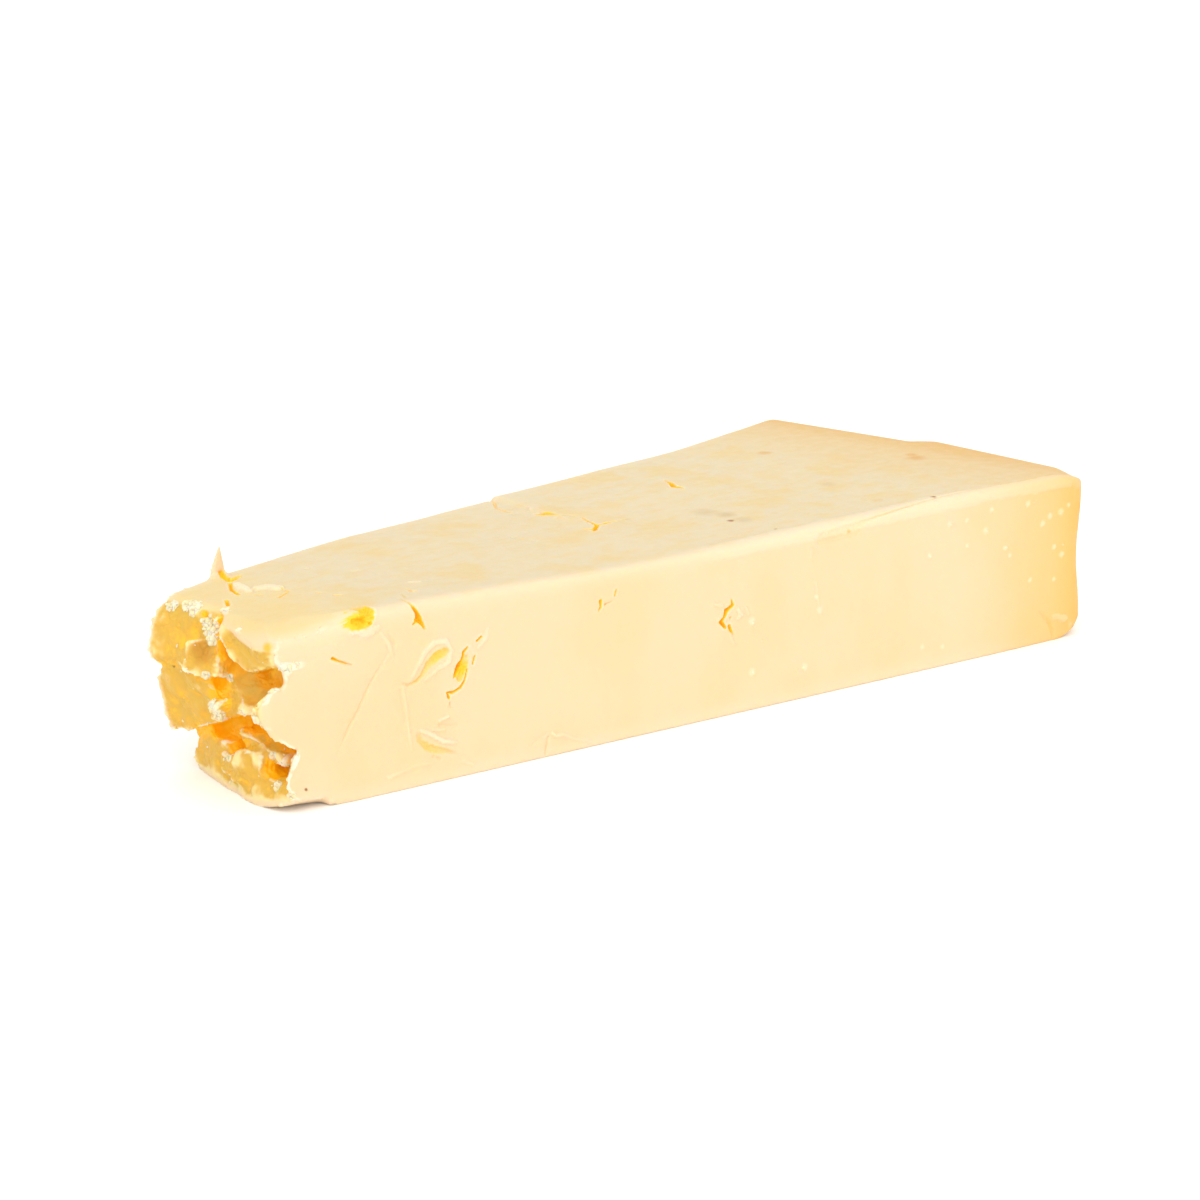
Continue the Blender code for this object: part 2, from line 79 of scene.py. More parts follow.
# Outer corners of each lump of curd at the break in mm: inward from the tip, across and up
LUMPS = {
    "top_back": (
        (-7.2, 19.6, 27.4), (-5.9, 20.5, 33.0), (-3.4, 20.5, 35.4), (1.0, 20.5, 38.6),
        (-0.5, 13.6, 37.6), (0.0, 7.2, 36.2), (0.0, 3.0, 36.8), (-5.2, 15.8, 23.2),
        (-5.0, 11.0, 28.0), (-2.6, 5.5, 32.4), (3.0, 13.0, 39.5), (3.0, 5.0, 39.0),
    ),
    "left_middle": (
        (-5.6, 5.7, 32.0), (-2.0, 0.7, 33.7), (-3.0, -0.8, 27.2), (-4.0, -0.7, 25.1),
        (-5.0, 2.4, 24.1), (-6.6, 6.6, 25.4), (-6.8, 6.0, 28.0), (-5.8, 10.6, 25.7),
        (-5.2, 10.3, 28.4),
    ),
    "left_low": (
        (-5.2, 16.5, 23.6), (-4.6, 20.5, 19.4), (-1.9, 20.5, 8.3), (-1.0, 11.0, 10.4),
        (0.0, 3.7, 13.8), (-1.6, 1.8, 20.4), (-3.6, 4.2, 24.2), (-4.6, 9.5, 25.6), (-2.6, 11.0, 16.5),
    ),
    "crumb": (
        (-2.6, 4.9, 18.9), (-1.8, -0.8, 20.4), (-1.5, 0.3, 14.9), (-1.8, 4.7, 14.4),
        (-4.3, 1.2, 17.8),
    ),
    "rim_crumbs": (
        (-1.2, 7.0, 35.8), (-0.4, 2.6, 36.4), (-0.6, 2.8, 32.6), (-1.6, 5.6, 32.0), (-2.2, 4.6, 34.2),
    ),
    "centre": (
        (0.8, 3.0, 26.5), (7.4, -9.0, 25.5), (5.0, -10.0, 22.5), (-1.0, -6.9, 18.4),
        (0.0, 0.4, 15.7), (0.0, 3.3, 19.4), (0.6, -2.5, 23.0),
    ),
    "top_front": (
        (-2.8, -0.2, 34.9), (-3.0, -1.2, 32.8), (-3.6, -4.5, 30.6), (-3.0, -7.8, 28.0),
        (-2.8, -10.3, 27.8), (-2.2, -14.0, 29.6), (-0.9, -21.0, 31.3), (-2.4, -21.0, 33.4),
        (-3.4, -12.6, 34.8), (-3.0, -7.1, 36.0), (-1.6, -1.0, 37.2), (2.0, 1.5, 40.0),
        (0.0, -21.0, 38.0),
    ),
    "inner_curd": (
        (7.0, -15.0, 33.0), (7.0, -15.0, 6.0), (5.6, -8.0, 34.0), (5.6, -8.0, 4.0),
        (4.6, 14.0, 34.0), (4.6, 14.0, 4.0), (5.4, 18.5, 28.0), (5.4, 18.5, 8.0),
    ),
    "top_middle": (
        (1.5, -2.0, 40.0), (1.5, 8.0, 40.0), (0.8, 5.0, 34.0), (2.0, 0.0, 30.0),
        (2.0, 8.0, 28.0),
    ),
    "skin_upper": (
        (-1.0, -23.0, 38.0), (-2.2, -21.0, 31.2), (-1.8, -21.0, 27.6), (0.0, -17.4, 30.5),
        (0.2, -17.6, 26.5),
    ),
    "tongue": (
        (-3.8, -20.0, 27.4), (-4.8, -18.5, 24.6), (-7.2, -16.6, 22.2), (-6.2, -16.4, 19.8),
        (-4.2, -18.4, 17.0), (-2.0, -21.0, 13.6), (0.8, -21.0, 11.8), (-6.4, -14.2, 20.8),
        (-2.6, -15.6, 24.6), (-2.0, -15.2, 17.4),
    ),
    "skin_lower": (
        (0.8, -21.0, 13.0), (-0.8, -21.0, 8.9), (-1.8, -21.0, 6.8), (-2.8, -20.0, 4.4),
        (0.2, -21.0, 1.2), (1.6, -17.0, 12.0), (0.6, -16.8, 5.0),
    ),
    "ridge": (
        (1.6, 1.0, 12.9), (1.0, -7.3, 11.9), (0.9, -13.8, 10.0), (2.4, -1.0, 9.6),
        (2.4, -9.0, 8.6), (1.8, -14.0, 8.0),
    ),
    "foot_middle": (
        (0.4, 4.3, 6.3), (-1.0, -5.1, 10.5), (0.2, -9.4, 9.9), (-1.0, -9.8, 5.4),
        (-2.0, -3.4, 2.6), (-0.8, 3.4, 3.4), (-2.2, -4.0, 7.0),
    ),
    "foot_back": (
        (3.2, 17.0, 8.6), (3.0, 17.2, 3.0), (3.6, 17.0, -1.0), (1.6, 10.4, 0.6),
        (-0.4, 0.0, -1.0), (0.4, 0.4, 4.6), (0.8, 3.0, 9.4), (1.2, 10.0, 9.8), (0.6, 9.4, 5.0),
    ),
    "foot_front": (
        (-2.2, -8.0, 2.6), (-1.9, -9.8, -1.0), (-1.6, -16.0, -1.0), (0.4, -21.0, 1.6),
        (-0.4, -12.4, 5.6), (-1.2, -3.0, -1.0), (0.6, 3.0, -1.0), (0.5, -17.0, 4.6),
        (1.2, -8.0, 7.0),
    ),
}
FLAKE = (
    (10.4, 19.0, 35.0), (14.8, 20.2, 35.0), (10.6, 20.6, 35.0), (14.4, 18.8, 35.0),
    (10.8, 19.2, 39.6), (14.4, 20.2, 39.8), (11.0, 20.4, 39.6), (14.2, 19.2, 39.8),
    (13.0, 19.2, 44.9), (13.9, 20.4, 45.0),
)


def half_width(x):
    """Half of the block's width at a place along it."""
    return (BREAK_WIDTH + (RIND_WIDTH - BREAK_WIDTH) * (x - TIP) / LENGTH) / 2


def ease(low, high, value):
    """0 below low and 1 above high, with a smooth rise between them."""
    share = np.clip((value - low) / (high - low), 0, 1)
    return share * share * (3 - 2 * share)


def from_bmesh(name, bm):
    """A new object in the scene with the shape that was built."""
    mesh = bpy.data.meshes.new(name)
    bm.to_mesh(mesh)
    bm.free()
    obj = bpy.data.objects.new(name, mesh)
    bpy.context.scene.collection.objects.link(obj)
    return obj


def bake_modifiers(obj):
    """Turns an object's modifiers into its own mesh."""
    graph = bpy.context.evaluated_depsgraph_get()
    baked = bpy.data.meshes.new_from_object(obj.evaluated_get(graph))
    obj.modifiers.clear()
    obj.data = baked


def make_box(name, x_start, x_end, half_start, half_end, low, high, sole_share):
    """A box that may taper in plan, with a bevel weight on each edge."""
    bm = bmesh.new()
    bmesh.ops.create_cube(bm, size=1)
    roundness = bm.edges.layers.float.new("bevel_weight_edge")
    for edge in bm.edges:
        edge[roundness] = sole_share if max(vert.co.z for vert in edge.verts) < 0 else 1
    for vert in bm.verts:
        x, half = (x_end, half_end) if vert.co.x > 0 else (x_start, half_start)
        vert.co = (x, math.copysign(half, vert.co.y), high if vert.co.z > 0 else low)
    return from_bmesh(name, bm)


def make_lump(name, corners, root):
    """The many-sided lump that its corners span, with the same outline again at its root."""
    bm = bmesh.new()
    for inward, across, up in corners:
        bm.verts.new((TIP + inward * MM, across * MM, up * MM))
        if root is not None:
            bm.verts.new((root, across * MM, up * MM))
    hull = bmesh.ops.convex_hull(bm, input=bm.verts)
    inside = [vert for vert in hull["geom_interior"] if isinstance(vert, bmesh.types.BMVert)]
    bmesh.ops.delete(bm, geom=inside, context="VERTS")
    return from_bmesh(name, bm)


def combine(obj, others, operation):
    """One Boolean of the object with the others, which are then removed."""
    group = bpy.data.collections.new(operation)
    for other in others:
        group.objects.link(other)
    join = obj.modifiers.new(operation, "BOOLEAN")
    join.operation = operation
    join.operand_type = "COLLECTION"
    join.collection = group
    join.solver = "EXACT"
    bake_modifiers(obj)
    for other in others:
        bpy.data.objects.remove(other)
    bpy.data.collections.remove(group)


def add_skin(obj):
    """One even skin of small faces over everything."""
    skin = obj.modifiers.new("skin", "REMESH")
    skin.mode = "VOXEL"
    skin.voxel_size = VOXEL


half_ends = half_width(SLAB_END), half_width(LENGTH / 2)
cheese = make_box("cheddar", SLAB_END, LENGTH / 2, *half_ends, -SOLE_PRESS, HEIGHT, SOLE_EDGE_SHARE)
soften = cheese.modifiers.new("soft_edges", "BEVEL")
soften.limit_method = "WEIGHT"
soften.width = CUT_EDGE_RADIUS
soften.segments = 5
bake_modifiers(cheese)
core = make_box("core", CORE_END, CORE_END + LENGTH, RIND_WIDTH, RIND_WIDTH, -0.1 * HEIGHT, 1.1 * HEIGHT, 1)
combine(core, [make_lump(name, corners, LUMP_ROOT) for name, corners in LUMPS.items()], "UNION")
combine(cheese, [core], "INTERSECT")
combine(cheese, [make_lump("flake", FLAKE, None)], "UNION")

# The lumps swell and shrink again, which fuses them across the narrow gaps between them
add_skin(cheese)
for name, reach in (("swell", FUSE), ("shrink", -FUSE)):
    move = cheese.modifiers.new(name, "DISPLACE")
    move.strength = reach
    move.mid_level = 0
    add_skin(cheese)
soften = cheese.modifiers.new("soften", "SMOOTH")
soften.iterations = 3
bake_modifiers(cheese)


def read_mesh(mesh):
    """Points, normals and edges of a mesh as arrays."""
    points = np.empty(len(mesh.vertices) * 3)
    mesh.vertices.foreach_get("co", points)
    normals = np.empty(len(mesh.vertices) * 3)
    mesh.vertex_normals.foreach_get("vector", normals)
    edges = np.empty(len(mesh.edges) * 2, np.int64)
    mesh.edges.foreach_get("vertices", edges)
    return points.reshape(-1, 3), normals.reshape(-1, 3), edges.reshape(-1, 2)


def write_attribute(mesh, name, values):
    """Keeps one number for each point of a mesh under a name."""
    layer = mesh.attributes.get(name) or mesh.attributes.new(name, "FLOAT", "POINT")
    layer.data.foreach_set("value", values.astype(np.float32))


def read_attribute(mesh, name):
    """The numbers kept under a name, one for each point of a mesh."""
    values = np.empty(len(mesh.vertices), np.float32)
    mesh.attributes[name].data.foreach_get("value", values)
    return values.astype(float)


def smoothed(values, edges, rounds):
    """Each value drawn to the mean of its neighbours, a number of times."""
    count = len(values)
    links = np.maximum(np.bincount(edges.ravel(), minlength=count), 1)
    for _ in range(rounds):
        total = np.bincount(edges[:, 0], values[edges[:, 1]], count)
        total += np.bincount(edges[:, 1], values[edges[:, 0]], count)
        values = 0.5 * values + 0.5 * total / links
    return values


def convexity(points, normals, edges, rounds):
    """How far each point stands out from the surface round it, in metres."""
    rounded = np.stack([smoothed(points[:, axis], edges, rounds) for axis in range(3)], 1)
    return ((points - rounded) * normals).sum(1)


def grain(points, size, offset=0.0):
    """Smooth noise from -1 to 1 with features of a size."""
    return np.array([noise.noise(Vector(p)) for p in points / size + offset])


def granules(points, size):
    """-0.5 in the joins between granules of a size, and 0.5 in their middles."""
    rim = 0.6
    values = []
    for p in points / size:
        near = noise.voronoi(Vector(p))[0]
        values.append(min(near[1] - near[0], rim) / rim - 0.5)
    return np.array(values)


# Cracks, holes, folds and flecks, as lines of corners: along and up on the front face, or along and across on
# the top, then half width and depth, all in mm. A depth below zero stands out instead.
FRONT_MARKS = {
    "pit": ((-86, 36.4, 1.5, 1.3), (-83.9, 36.3, 1.7, 2), (-82.2, 38.3, 1.2, 1.1)),
    "pit_lip": (
        (-87.8, 37.7, 0.9, -0.25), (-86.7, 34.9, 1.1, -0.4), (-83.7, 33.7, 1.1, -0.4), (-81.2, 34.3, 0.8, -0.25),
    ),
    "edge_crack": (
        (-73.3, 38.2, 0.25, 0.6), (-72.9, 37, 0.3, 1), (-72.3, 35.9, 0.45, 1.5), (-72, 34.6, 0.85, 1.9),
        (-71.4, 33.8, 0.5, 1.3), (-70.5, 32.3, 0.2, 0.6),
    ),
    "edge_crack_branch": ((-72, 34.6, 0.5, 1.4), (-73.1, 33.6, 0.25, 0.6)),
    "crescent": ((-80.2, 33, 0.5, -0.15), (-78.9, 30.8, 0.5, -0.3), (-77.9, 27.5, 0.3, -0.15)),
    "crescent_groove": ((-78.7, 32.8, 0.5, 0.12), (-77.7, 30.6, 0.5, 0.25), (-77.3, 28.1, 0.3, 0.1)),
    "scratch": (
        (-79, 28.8, 0.25, 0.12), (-83.5, 22.8, 0.4, 0.3), (-85.9, 18.5, 0.4, 0.32), (-88.3, 15.2, 0.4, 0.3),
        (-90.5, 11.2, 0.25, 0.1),
    ),
    "gouge": (
        (-66.1, 26.9, 1.1, 0.6), (-67.8, 26.2, 1.2, 0.65), (-69.8, 25, 0.9, 0.55), (-71.4, 22.9, 0.5, 0.5),
        (-72.6, 21.9, 0.4, 0.5), (-74.5, 21.4, 0.35, 0.4), (-76, 22.1, 0.25, 0.2),
    ),
    "gouge_lip": (
        (-73.6, 22.9, 0.5, -0.25), (-70.9, 27.3, 0.7, -0.35), (-68.5, 29.2, 0.7, -0.4), (-65.8, 29.1, 0.7, -0.4),
        (-64.6, 26.8, 0.6, -0.35), (-65.4, 24.5, 0.7, -0.35), (-67.9, 23.5, 0.6, -0.3), (-70.7, 21.7, 0.4, -0.2),
    ),
    "fissure_top": ((-57.5, 28.5, 0.25, 1), (-58.5, 27.8, 0.25, 1)),
    "fissure_bead": ((-60.8, 26.8, 0.22, 1), (-61.7, 26.1, 0.28, 1.2)),
    "fissure": (
        (-61.7, 26.1, 0.2, 1), (-61.9, 24.6, 0.4, 1.8), (-62.7, 23.4, 0.75, 2.8), (-63.4, 22.1, 0.6, 2.4),
        (-64, 21.1, 0.2, 0.8),
    ),
    "fissure_slope": ((-61.2, 24.7, 0.8, 0.5), (-61.8, 22.6, 1, 0.8), (-62.8, 20.5, 0.8, 0.6)),
    "fissure_side": ((-59.1, 24.8, 0.22, 0.8), (-59.6, 23.1, 0.22, 0.9)),
    "fissure_tail": (
        (-60.9, 22.2, 0.22, 0.8), (-61.6, 20, 0.25, 1.1), (-62.6, 18.7, 0.28, 1.1), (-64.4, 18, 0.25, 1),
        (-65.6, 18.2, 0.25, 1), (-65.3, 17, 0.28, 1),
    ),
    "fissure_thread": ((-65.1, 16.2, 0.16, 0.4), (-64.9, 14.8, 0.16, 0.3)),
    "fissure_lip": ((-55.8, 29.8, 0.5, -0.2), (-56.5, 28, 0.6, -0.35), (-58.2, 26.3, 0.4, -0.2)),
    "fissure_lip_low": ((-60.1, 27, 0.4, -0.2), (-58.5, 23.2, 0.3, -0.15)),
    "wrinkle": (
        (-75.7, 21, 0.4, -0.15), (-75.2, 17.5, 0.4, -0.2), (-74.9, 14.3, 0.4, -0.15), (-74.5, 10.4, 0.4, -0.25),
        (-74.1, 7.9, 0.3, -0.1),
    ),
    "wrinkle_groove": ((-76.4, 20.8, 0.4, 0.1), (-76, 17.6, 0.4, 0.15), (-75.5, 14, 0.4, 0.12)),
    "fleck_a": ((-67.7, 12.7, 0.35, -0.35), (-65.5, 13.2, 0.35, -0.35)),
    "fleck_b": ((-69.3, 11.1, 0.3, -0.3), (-66.4, 10.7, 0.3, -0.25)),
    "fleck_groove": ((-67.5, 11.8, 0.5, 0.25), (-63.6, 10.9, 0.4, 0.2)),
    "fold": ((-71.7, 11.4, 0.5, -0.3), (-69.5, 10.2, 0.6, -0.5), (-66.8, 8.3, 0.6, -0.5), (-63.9, 7.5, 0.4, -0.25)),
    "fold_groove": (
        (-72.4, 10.5, 0.7, 0.4), (-71.9, 9, 0.8, 0.5), (-70.2, 7.6, 0.9, 0.55), (-68.2, 6.7, 0.9, 0.5),
        (-65.3, 5.8, 0.5, 0.45), (-63.5, 5, 0.3, 0.2),
    ),
    "fold_low": ((-69.2, 5.6, 0.5, 0.3), (-67.7, 4.8, 0.5, 0.3)),
    "short_crack": (
        (-91.4, 30.2, 0.35, 1), (-90, 29.3, 0.25, 0.7), (-88.4, 28.5, 0.22, 0.6), (-87.1, 27.9, 0.15, 0.3),
    ),
    "foot_ridge": (
        (-79.5, 3.3, 0.6, -0.25), (-75.8, 4, 0.4, -0.15), (-73.1, 4.6, 0.4, -0.15), (-69.3, 4.2, 0.3, -0.1),
    ),
    "foot_fleck": ((-62.3, 3.1, 0.4, -0.2), (-60.2, 2.1, 0.4, -0.25)),
    "hole_left": ((-28.7, 31.4, 0.35, 1.3), (-28.7, 30.2, 0.3, 1.2), (-29.1, 29.3, 0.2, 0.5)),
    "hole_thread": ((-27.7, 30.4, 0.25, 0.5), (-25.9, 30.8, 0.2, 0.3)),
    "hole_right": ((-24.8, 33.2, 0.22, 0.8), (-25.1, 32, 0.2, 0.7)),
    "hook": (
        (4.2, 25.9, 0.22, 0.6), (4.5, 24.6, 0.4, 1.2), (2.9, 23.6, 0.5, 1.7), (2.4, 22.2, 0.3, 1.3),
        (1.5, 21.3, 0.5, 1.6), (2.6, 19.8, 0.35, 1.1),
    ),
    "hook_low": ((3.7, 20, 0.35, 1.2), (4.1, 18.9, 0.35, 1.1), (4.9, 17.6, 0.15, 0.3)),
    "hook_dot": ((4, 21.8, 0.3, 0.7),),
    "hook_flap": ((0, 25.5, 0.4, -0.2), (1.8, 25, 0.4, -0.25)),
    "hook_crumbs": ((6, 23.3, 0.5, -0.25), (6.7, 21.9, 0.5, -0.35), (5.9, 21.2, 0.4, -0.25)),
    "hook_crumbs_side": ((8, 23.4, 0.4, -0.2), (8.6, 21.8, 0.4, -0.25)),
    "hook_tail": ((4.1, 17.6, 0.35, -0.15), (4.9, 15.7, 0.35, -0.15)),
    "bottom_line": ((-42.1, 4.4, 0.3, 0.3), (-42.7, 1.6, 0.35, 0.4), (-42.8, 0.6, 0.3, 0.3)),
    "bottom_fleck": ((-41, 5, 0.4, -0.35), (-40.3, 4.1, 0.4, -0.35)),
    "bottom_fold": (
        (-40.1, 4.1, 0.4, -0.3), (-38.4, 4.2, 0.4, -0.3), (-35.5, 2.5, 0.3, -0.2), (-31.3, 1.1, 0.3, -0.1),
    ),
    "bottom_plane": ((-45.7, 3.7, 0.3, 0.1), (-42, 5.3, 0.3, 0.1)),
    "corner_chip": ((91.6, 5.6, 0.8, -0.25), (94, 4.5, 0.9, -0.3)),
    "corner_fleck": ((95.9, 2, 0.6, -0.3),),
    "corner_crease": ((88, 7.4, 0.5, 0.2), (90.4, 4.2, 0.6, 0.4), (91.4, 0.7, 0.5, 0.3)),
    "faint_a": ((26.5, 25.7, 0.3, -0.15), (27.1, 21.2, 0.3, -0.15), (27.7, 17.8, 0.3, -0.1)),
    "spot_a": ((8, 28.2, 0.35, -0.2),),
    "spot_b": ((9.9, 19.4, 0.4, -0.3),),
    "spot_c": ((12.2, 15, 0.3, -0.2),),
    "spot_g": ((92.3, 29.3, 0.28, -0.25),),
    "spot_h": ((93.8, 22, 0.32, -0.25),),
    "spot_i": ((79.3, 24.1, 0.36, -0.25),),
    "spot_j": ((85.8, 33.1, 0.28, -0.25),),
    "spot_k": ((73.7, 28.9, 0.32, -0.25),),
    "spot_l": ((57.8, 25.8, 0.36, -0.25),),
    "spot_m": ((63.4, 32.1, 0.28, -0.25),),
    "spot_n": ((68.6, 26.3, 0.32, -0.25),),
    "spot_o": ((75.3, 33.4, 0.36, -0.25),),
    "pale_streak": ((25.2, 33.6, 0.35, -0.12), (25.2, 31.2, 0.3, -0.12)),
    "spot_d": ((9.9, 8.2, 0.45, -0.3),),
    "spot_e": ((23.2, 6.8, 0.4, -0.3),),
    "spot_f": ((21.3, 6.9, 0.3, -0.2),),
}
TOP_MARKS = {
    "gold_notch": ((-87.9, 18.9, 0.8, 0.8), (-88.7, 15.2, 0.8, 1), (-85.4, 16.6, 0.7, 0.6)),
    "flake_crack": ((-89.7, 14, 0.35, 0.9), (-92.2, 10.3, 0.4, 1.1), (-93, 7.1, 0.4, 1)),
    "flake_a": ((-90.1, 11.9, 1.2, -0.6), (-90.2, 9.1, 1.5, -0.7), (-90.4, 6.9, 0.9, -0.5)),
    "flake_b": ((-88.1, 7, 1.3, -0.45), (-86, 6.2, 1.6, -0.5), (-85.4, 4.1, 1.5, -0.5)),
    "flake_b_end": ((-85.1, 3.5, 0.3, 0.6), (-85.1, 1.1, 0.3, 0.5)),
    "flake_b_low": ((-88.9, -0.6, 0.3, 0.7), (-85.7, 0.8, 0.3, 0.6)),
    "flake_b_left": ((-90.6, 4.5, 0.25, 0.6), (-90.3, 2.6, 0.25, 0.5)),
    "rim_crack": ((-96.7, 6, 0.4, 1), (-98.4, 3.2, 0.4, 1.2)),
    "spot_back": ((-72.6, 11.4, 0.35, 0.35), (-71.9, 11.1, 0.3, 0.3)),
    "spot_front": ((-81.6, -2.9, 0.3, 0.5), (-81.4, -4.4, 0.3, 0.45)),
    "spot_gold": ((-80.2, -7.2, 0.35, 0.6), (-79.7, -8.1, 0.45, 0.7), (-78.9, -8.3, 0.3, 0.4)),
    "edge_gold": ((-67.1, -14, 0.3, 0.6), (-67.5, -15.7, 0.35, 0.8), (-66.4, -16, 0.3, 0.6)),
    "edge_thread": ((-70.6, -16.2, 0.2, 0.5), (-71.5, -18.7, 0.2, 0.6)),
    "edge_fleck": ((-63.4, -9.8, 0.5, -0.25), (-61.6, -10.8, 0.6, -0.25)),
    "star_left": ((-4.1, 5, 0.2, 0.6), (-4.5, 3.4, 0.28, 0.9), (-5.1, 0.6, 0.32, 1.2), (-5.7, -1.5, 0.6, 1.9)),
    "star_right": ((-5.7, -1.7, 0.5, 1.8), (-4.4, -1.6, 0.4, 1.4), (-1.2, -1.5, 0.3, 0.8), (3.2, -1.4, 0.15, 0.2)),
    "star_low": ((-9.7, -2.1, 0.3, 0.8), (-8.9, -3.1, 0.35, 1.1), (-8.7, -4.2, 0.5, 1.6), (-6.3, -2.3, 0.5, 1.7)),
    "step_front": (
        (-8.7, 30.5, 0.5, 0.4), (-9.4, 27.7, 0.5, 0.5), (-12.1, 23.8, 0.35, 0.5), (-12.5, 20.3, 0.3, 0.6),
        (-12.3, 17.9, 0.25, 0.4), (-10.9, 15.7, 0.2, 0.2),
    ),
    "step_gold": ((-8.9, 14.3, 0.35, 0.9), (-7.7, 12.1, 0.35, 0.9), (-7.3, 8.7, 0.25, 0.5)),
    "step_fleck": ((-7.9, 17.5, 0.4, -0.3),),
    "streak_gold": ((-6.9, 8.8, 0.3, 0.2), (-4.8, 6.4, 0.3, 0.2)),
    "streak_low": ((-24.7, 3.8, 0.25, 0.3), (-24.1, 0.9, 0.3, 0.4), (-23.8, -2.6, 0.2, 0.2)),
    "rim_pit": ((-101.8, 6.8, 0.5, 0.8), (-102.4, 3, 0.5, 0.7)),
    "lip_thread": (
        (26.9, -35.4, 0.18, 0.3), (38.4, -36.6, 0.2, 0.35), (50, -37.4, 0.2, 0.4), (60.7, -38, 0.22, 0.4),
        (75.5, -39.3, 0.2, 0.3), (91.8, -41.3, 0.18, 0.25),
    ),
    "dash": ((30.3, 16.9, 0.25, 0.5), (29, 12.9, 0.5, 1.1), (27.5, 10.1, 0.8, 1.6), (28.1, 7.7, 0.4, 0.8)),
}


def mark_field(flat, line):
    """For places on a face: how many half widths from a mark, how far beyond its rim, and how deep it is there."""
    near = np.full(len(flat), np.inf)
    beyond = np.full(len(flat), np.inf)
    depth = np.zeros(len(flat))
    corners = line if len(line) > 1 else line * 2
    for first, last in zip(corners, corners[1:]):
        first, last = np.array(first) * MM, np.array(last) * MM
        span = (last - first)[:2]
        offset = flat - first[:2]
        share = np.clip(offset @ span / max(span @ span, 1e-12), 0, 1)
        distance = np.hypot(*(offset - share[:, None] * span).T)
        width = first[2] + share * (last[2] - first[2])
        closer = distance / width < near
        near[closer] = (distance / width)[closer]
        beyond[closer] = (distance - width)[closer]
        depth[closer] = (first[3] + share * (last[3] - first[3]))[closer]
    return near, beyond, depth


MARK_REACH = 4 * MM


def near_marks(points):
    """For each mark: the points that lie within its reach, and how near and deep it is there."""
    x, y, z = points.T
    faces = (
        (FRONT_MARKS, np.stack([x, z], 1), half_width(x) + y),
        (TOP_MARKS, np.stack([x, y], 1), HEIGHT - z),
    )
    for marks, flat, under in faces:
        shallow = (under < MARK_REACH) & (under > -1 * MM)
        for line in marks.values():
            low = np.min(line, axis=0)[:2] * MM - MARK_REACH
            high = np.max(line, axis=0)[:2] * MM + MARK_REACH
            inside = np.nonzero(shallow & (flat > low).all(1) & (flat < high).all(1))[0]
            yield inside, *mark_field(flat[inside], line)


def wavering(x, seed):
    """A line that wavers, coarse and fine, by about a millimetre along the block."""
    return np.array([noise.noise((u / (7 * MM), seed, 0)) + 0.5 * noise.noise((u / (1.6 * MM), seed, 5)) for u in x])


# The lip's height, its width on the top and how much narrower it gets, in mm, and where it begins
LIP_DOWN = 2.6
LIP_WIDTH = 3.4
LIP_NARROWING = 2
LIP_START = -8 * MM
LIP_FULL = 6 * MM


def edge_lip(points):
    """The pale lip that the wire left along the front's top edge: how far it covers each point."""
    x, y, z = points.T
    down = HEIGHT - z - LIP_DOWN * MM - 0.7 * MM * wavering(x, 3.3)
    width = (LIP_WIDTH - LIP_NARROWING * ease(50 * MM, 95 * MM, x)) * MM
    inward = half_width(x) + y - width - 0.8 * MM * wavering(x, 8.1)
    cover = (1 - ease(-0.2 * MM, 0.15 * MM, down)) * (1 - ease(-0.25 * MM, 0.25 * MM, inward))
    return cover * ease(LIP_START, LIP_FULL, x)


def by_lip(points):
    """The points that the lip may cover."""
    x, y, z = points.T
    return np.nonzero((half_width(x) + y < 6 * MM) & (x > LIP_START) & (z > 33 * MM))[0]


# Where the curd is broken open, where it forms a rim or is torn, and what needs the finest faces
SKIN_WRAP = 3.2 * MM
BREAK_START = TIP + 22 * MM
BREAK_END = TIP + 30 * MM
RIM_START = TIP + 9 * MM
RIM_END = TIP + 13 * MM
mesh = cheese.data
points, normals, edges = read_mesh(mesh)
x, y, z = points.T
near_break = 1 - ease(BREAK_START, BREAK_END, x)
front_wrap = SKIN_WRAP * (1 - ease(-12 * MM, 2 * MM, y))
skin_depth = np.minimum(np.minimum(z, HEIGHT - z - front_wrap), half_width(x) - np.abs(y))
broken = ease(0.5 * MM, 1.5 * MM, skin_depth) * near_break
rim = ease(0.02 * MM, 0.11 * MM, convexity(points, normals, edges, 7))
rim *= 1 - ease(RIM_START, RIM_END, x)
torn = np.clip(1.6 * smoothed(np.maximum(broken, 1.0 * (rim > 0.5)), edges, 12), 0, 1)
torn *= ease(0.5 * MM, 3 * MM, z)
write_attribute(mesh, "broken", broken)
write_attribute(mesh, "rim", rim)
write_attribute(mesh, "torn", torn)
fine = (broken > 0.01) | (rim > 0.01)
for inside, near, beyond, depth in near_marks(points):
    fine[inside] |= (near < 1.5) | (beyond < 1 * MM)
on_edge = by_lip(points)
lip = edge_lip(points[on_edge])
fine[on_edge] |= (lip > 0.02) & (lip < 0.98)

bm = bmesh.new()
bm.from_mesh(mesh)
bm.verts.ensure_lookup_table()
long_edges = [edge for edge in bm.edges if fine[edge.verts[0].index] and fine[edge.verts[1].index]]
bmesh.ops.subdivide_edges(bm, edges=long_edges, cuts=1, use_grid_fill=True)
bm.to_mesh(mesh)
bm.free()

points, normals, edges = read_mesh(mesh)
x, y, z = points.T
broken = read_attribute(mesh, "broken")
rim = read_attribute(mesh, "rim")
torn = read_attribute(mesh, "torn")
rough = np.nonzero(np.maximum(broken, rim) > 0.01)[0]
relief = np.zeros(len(points))

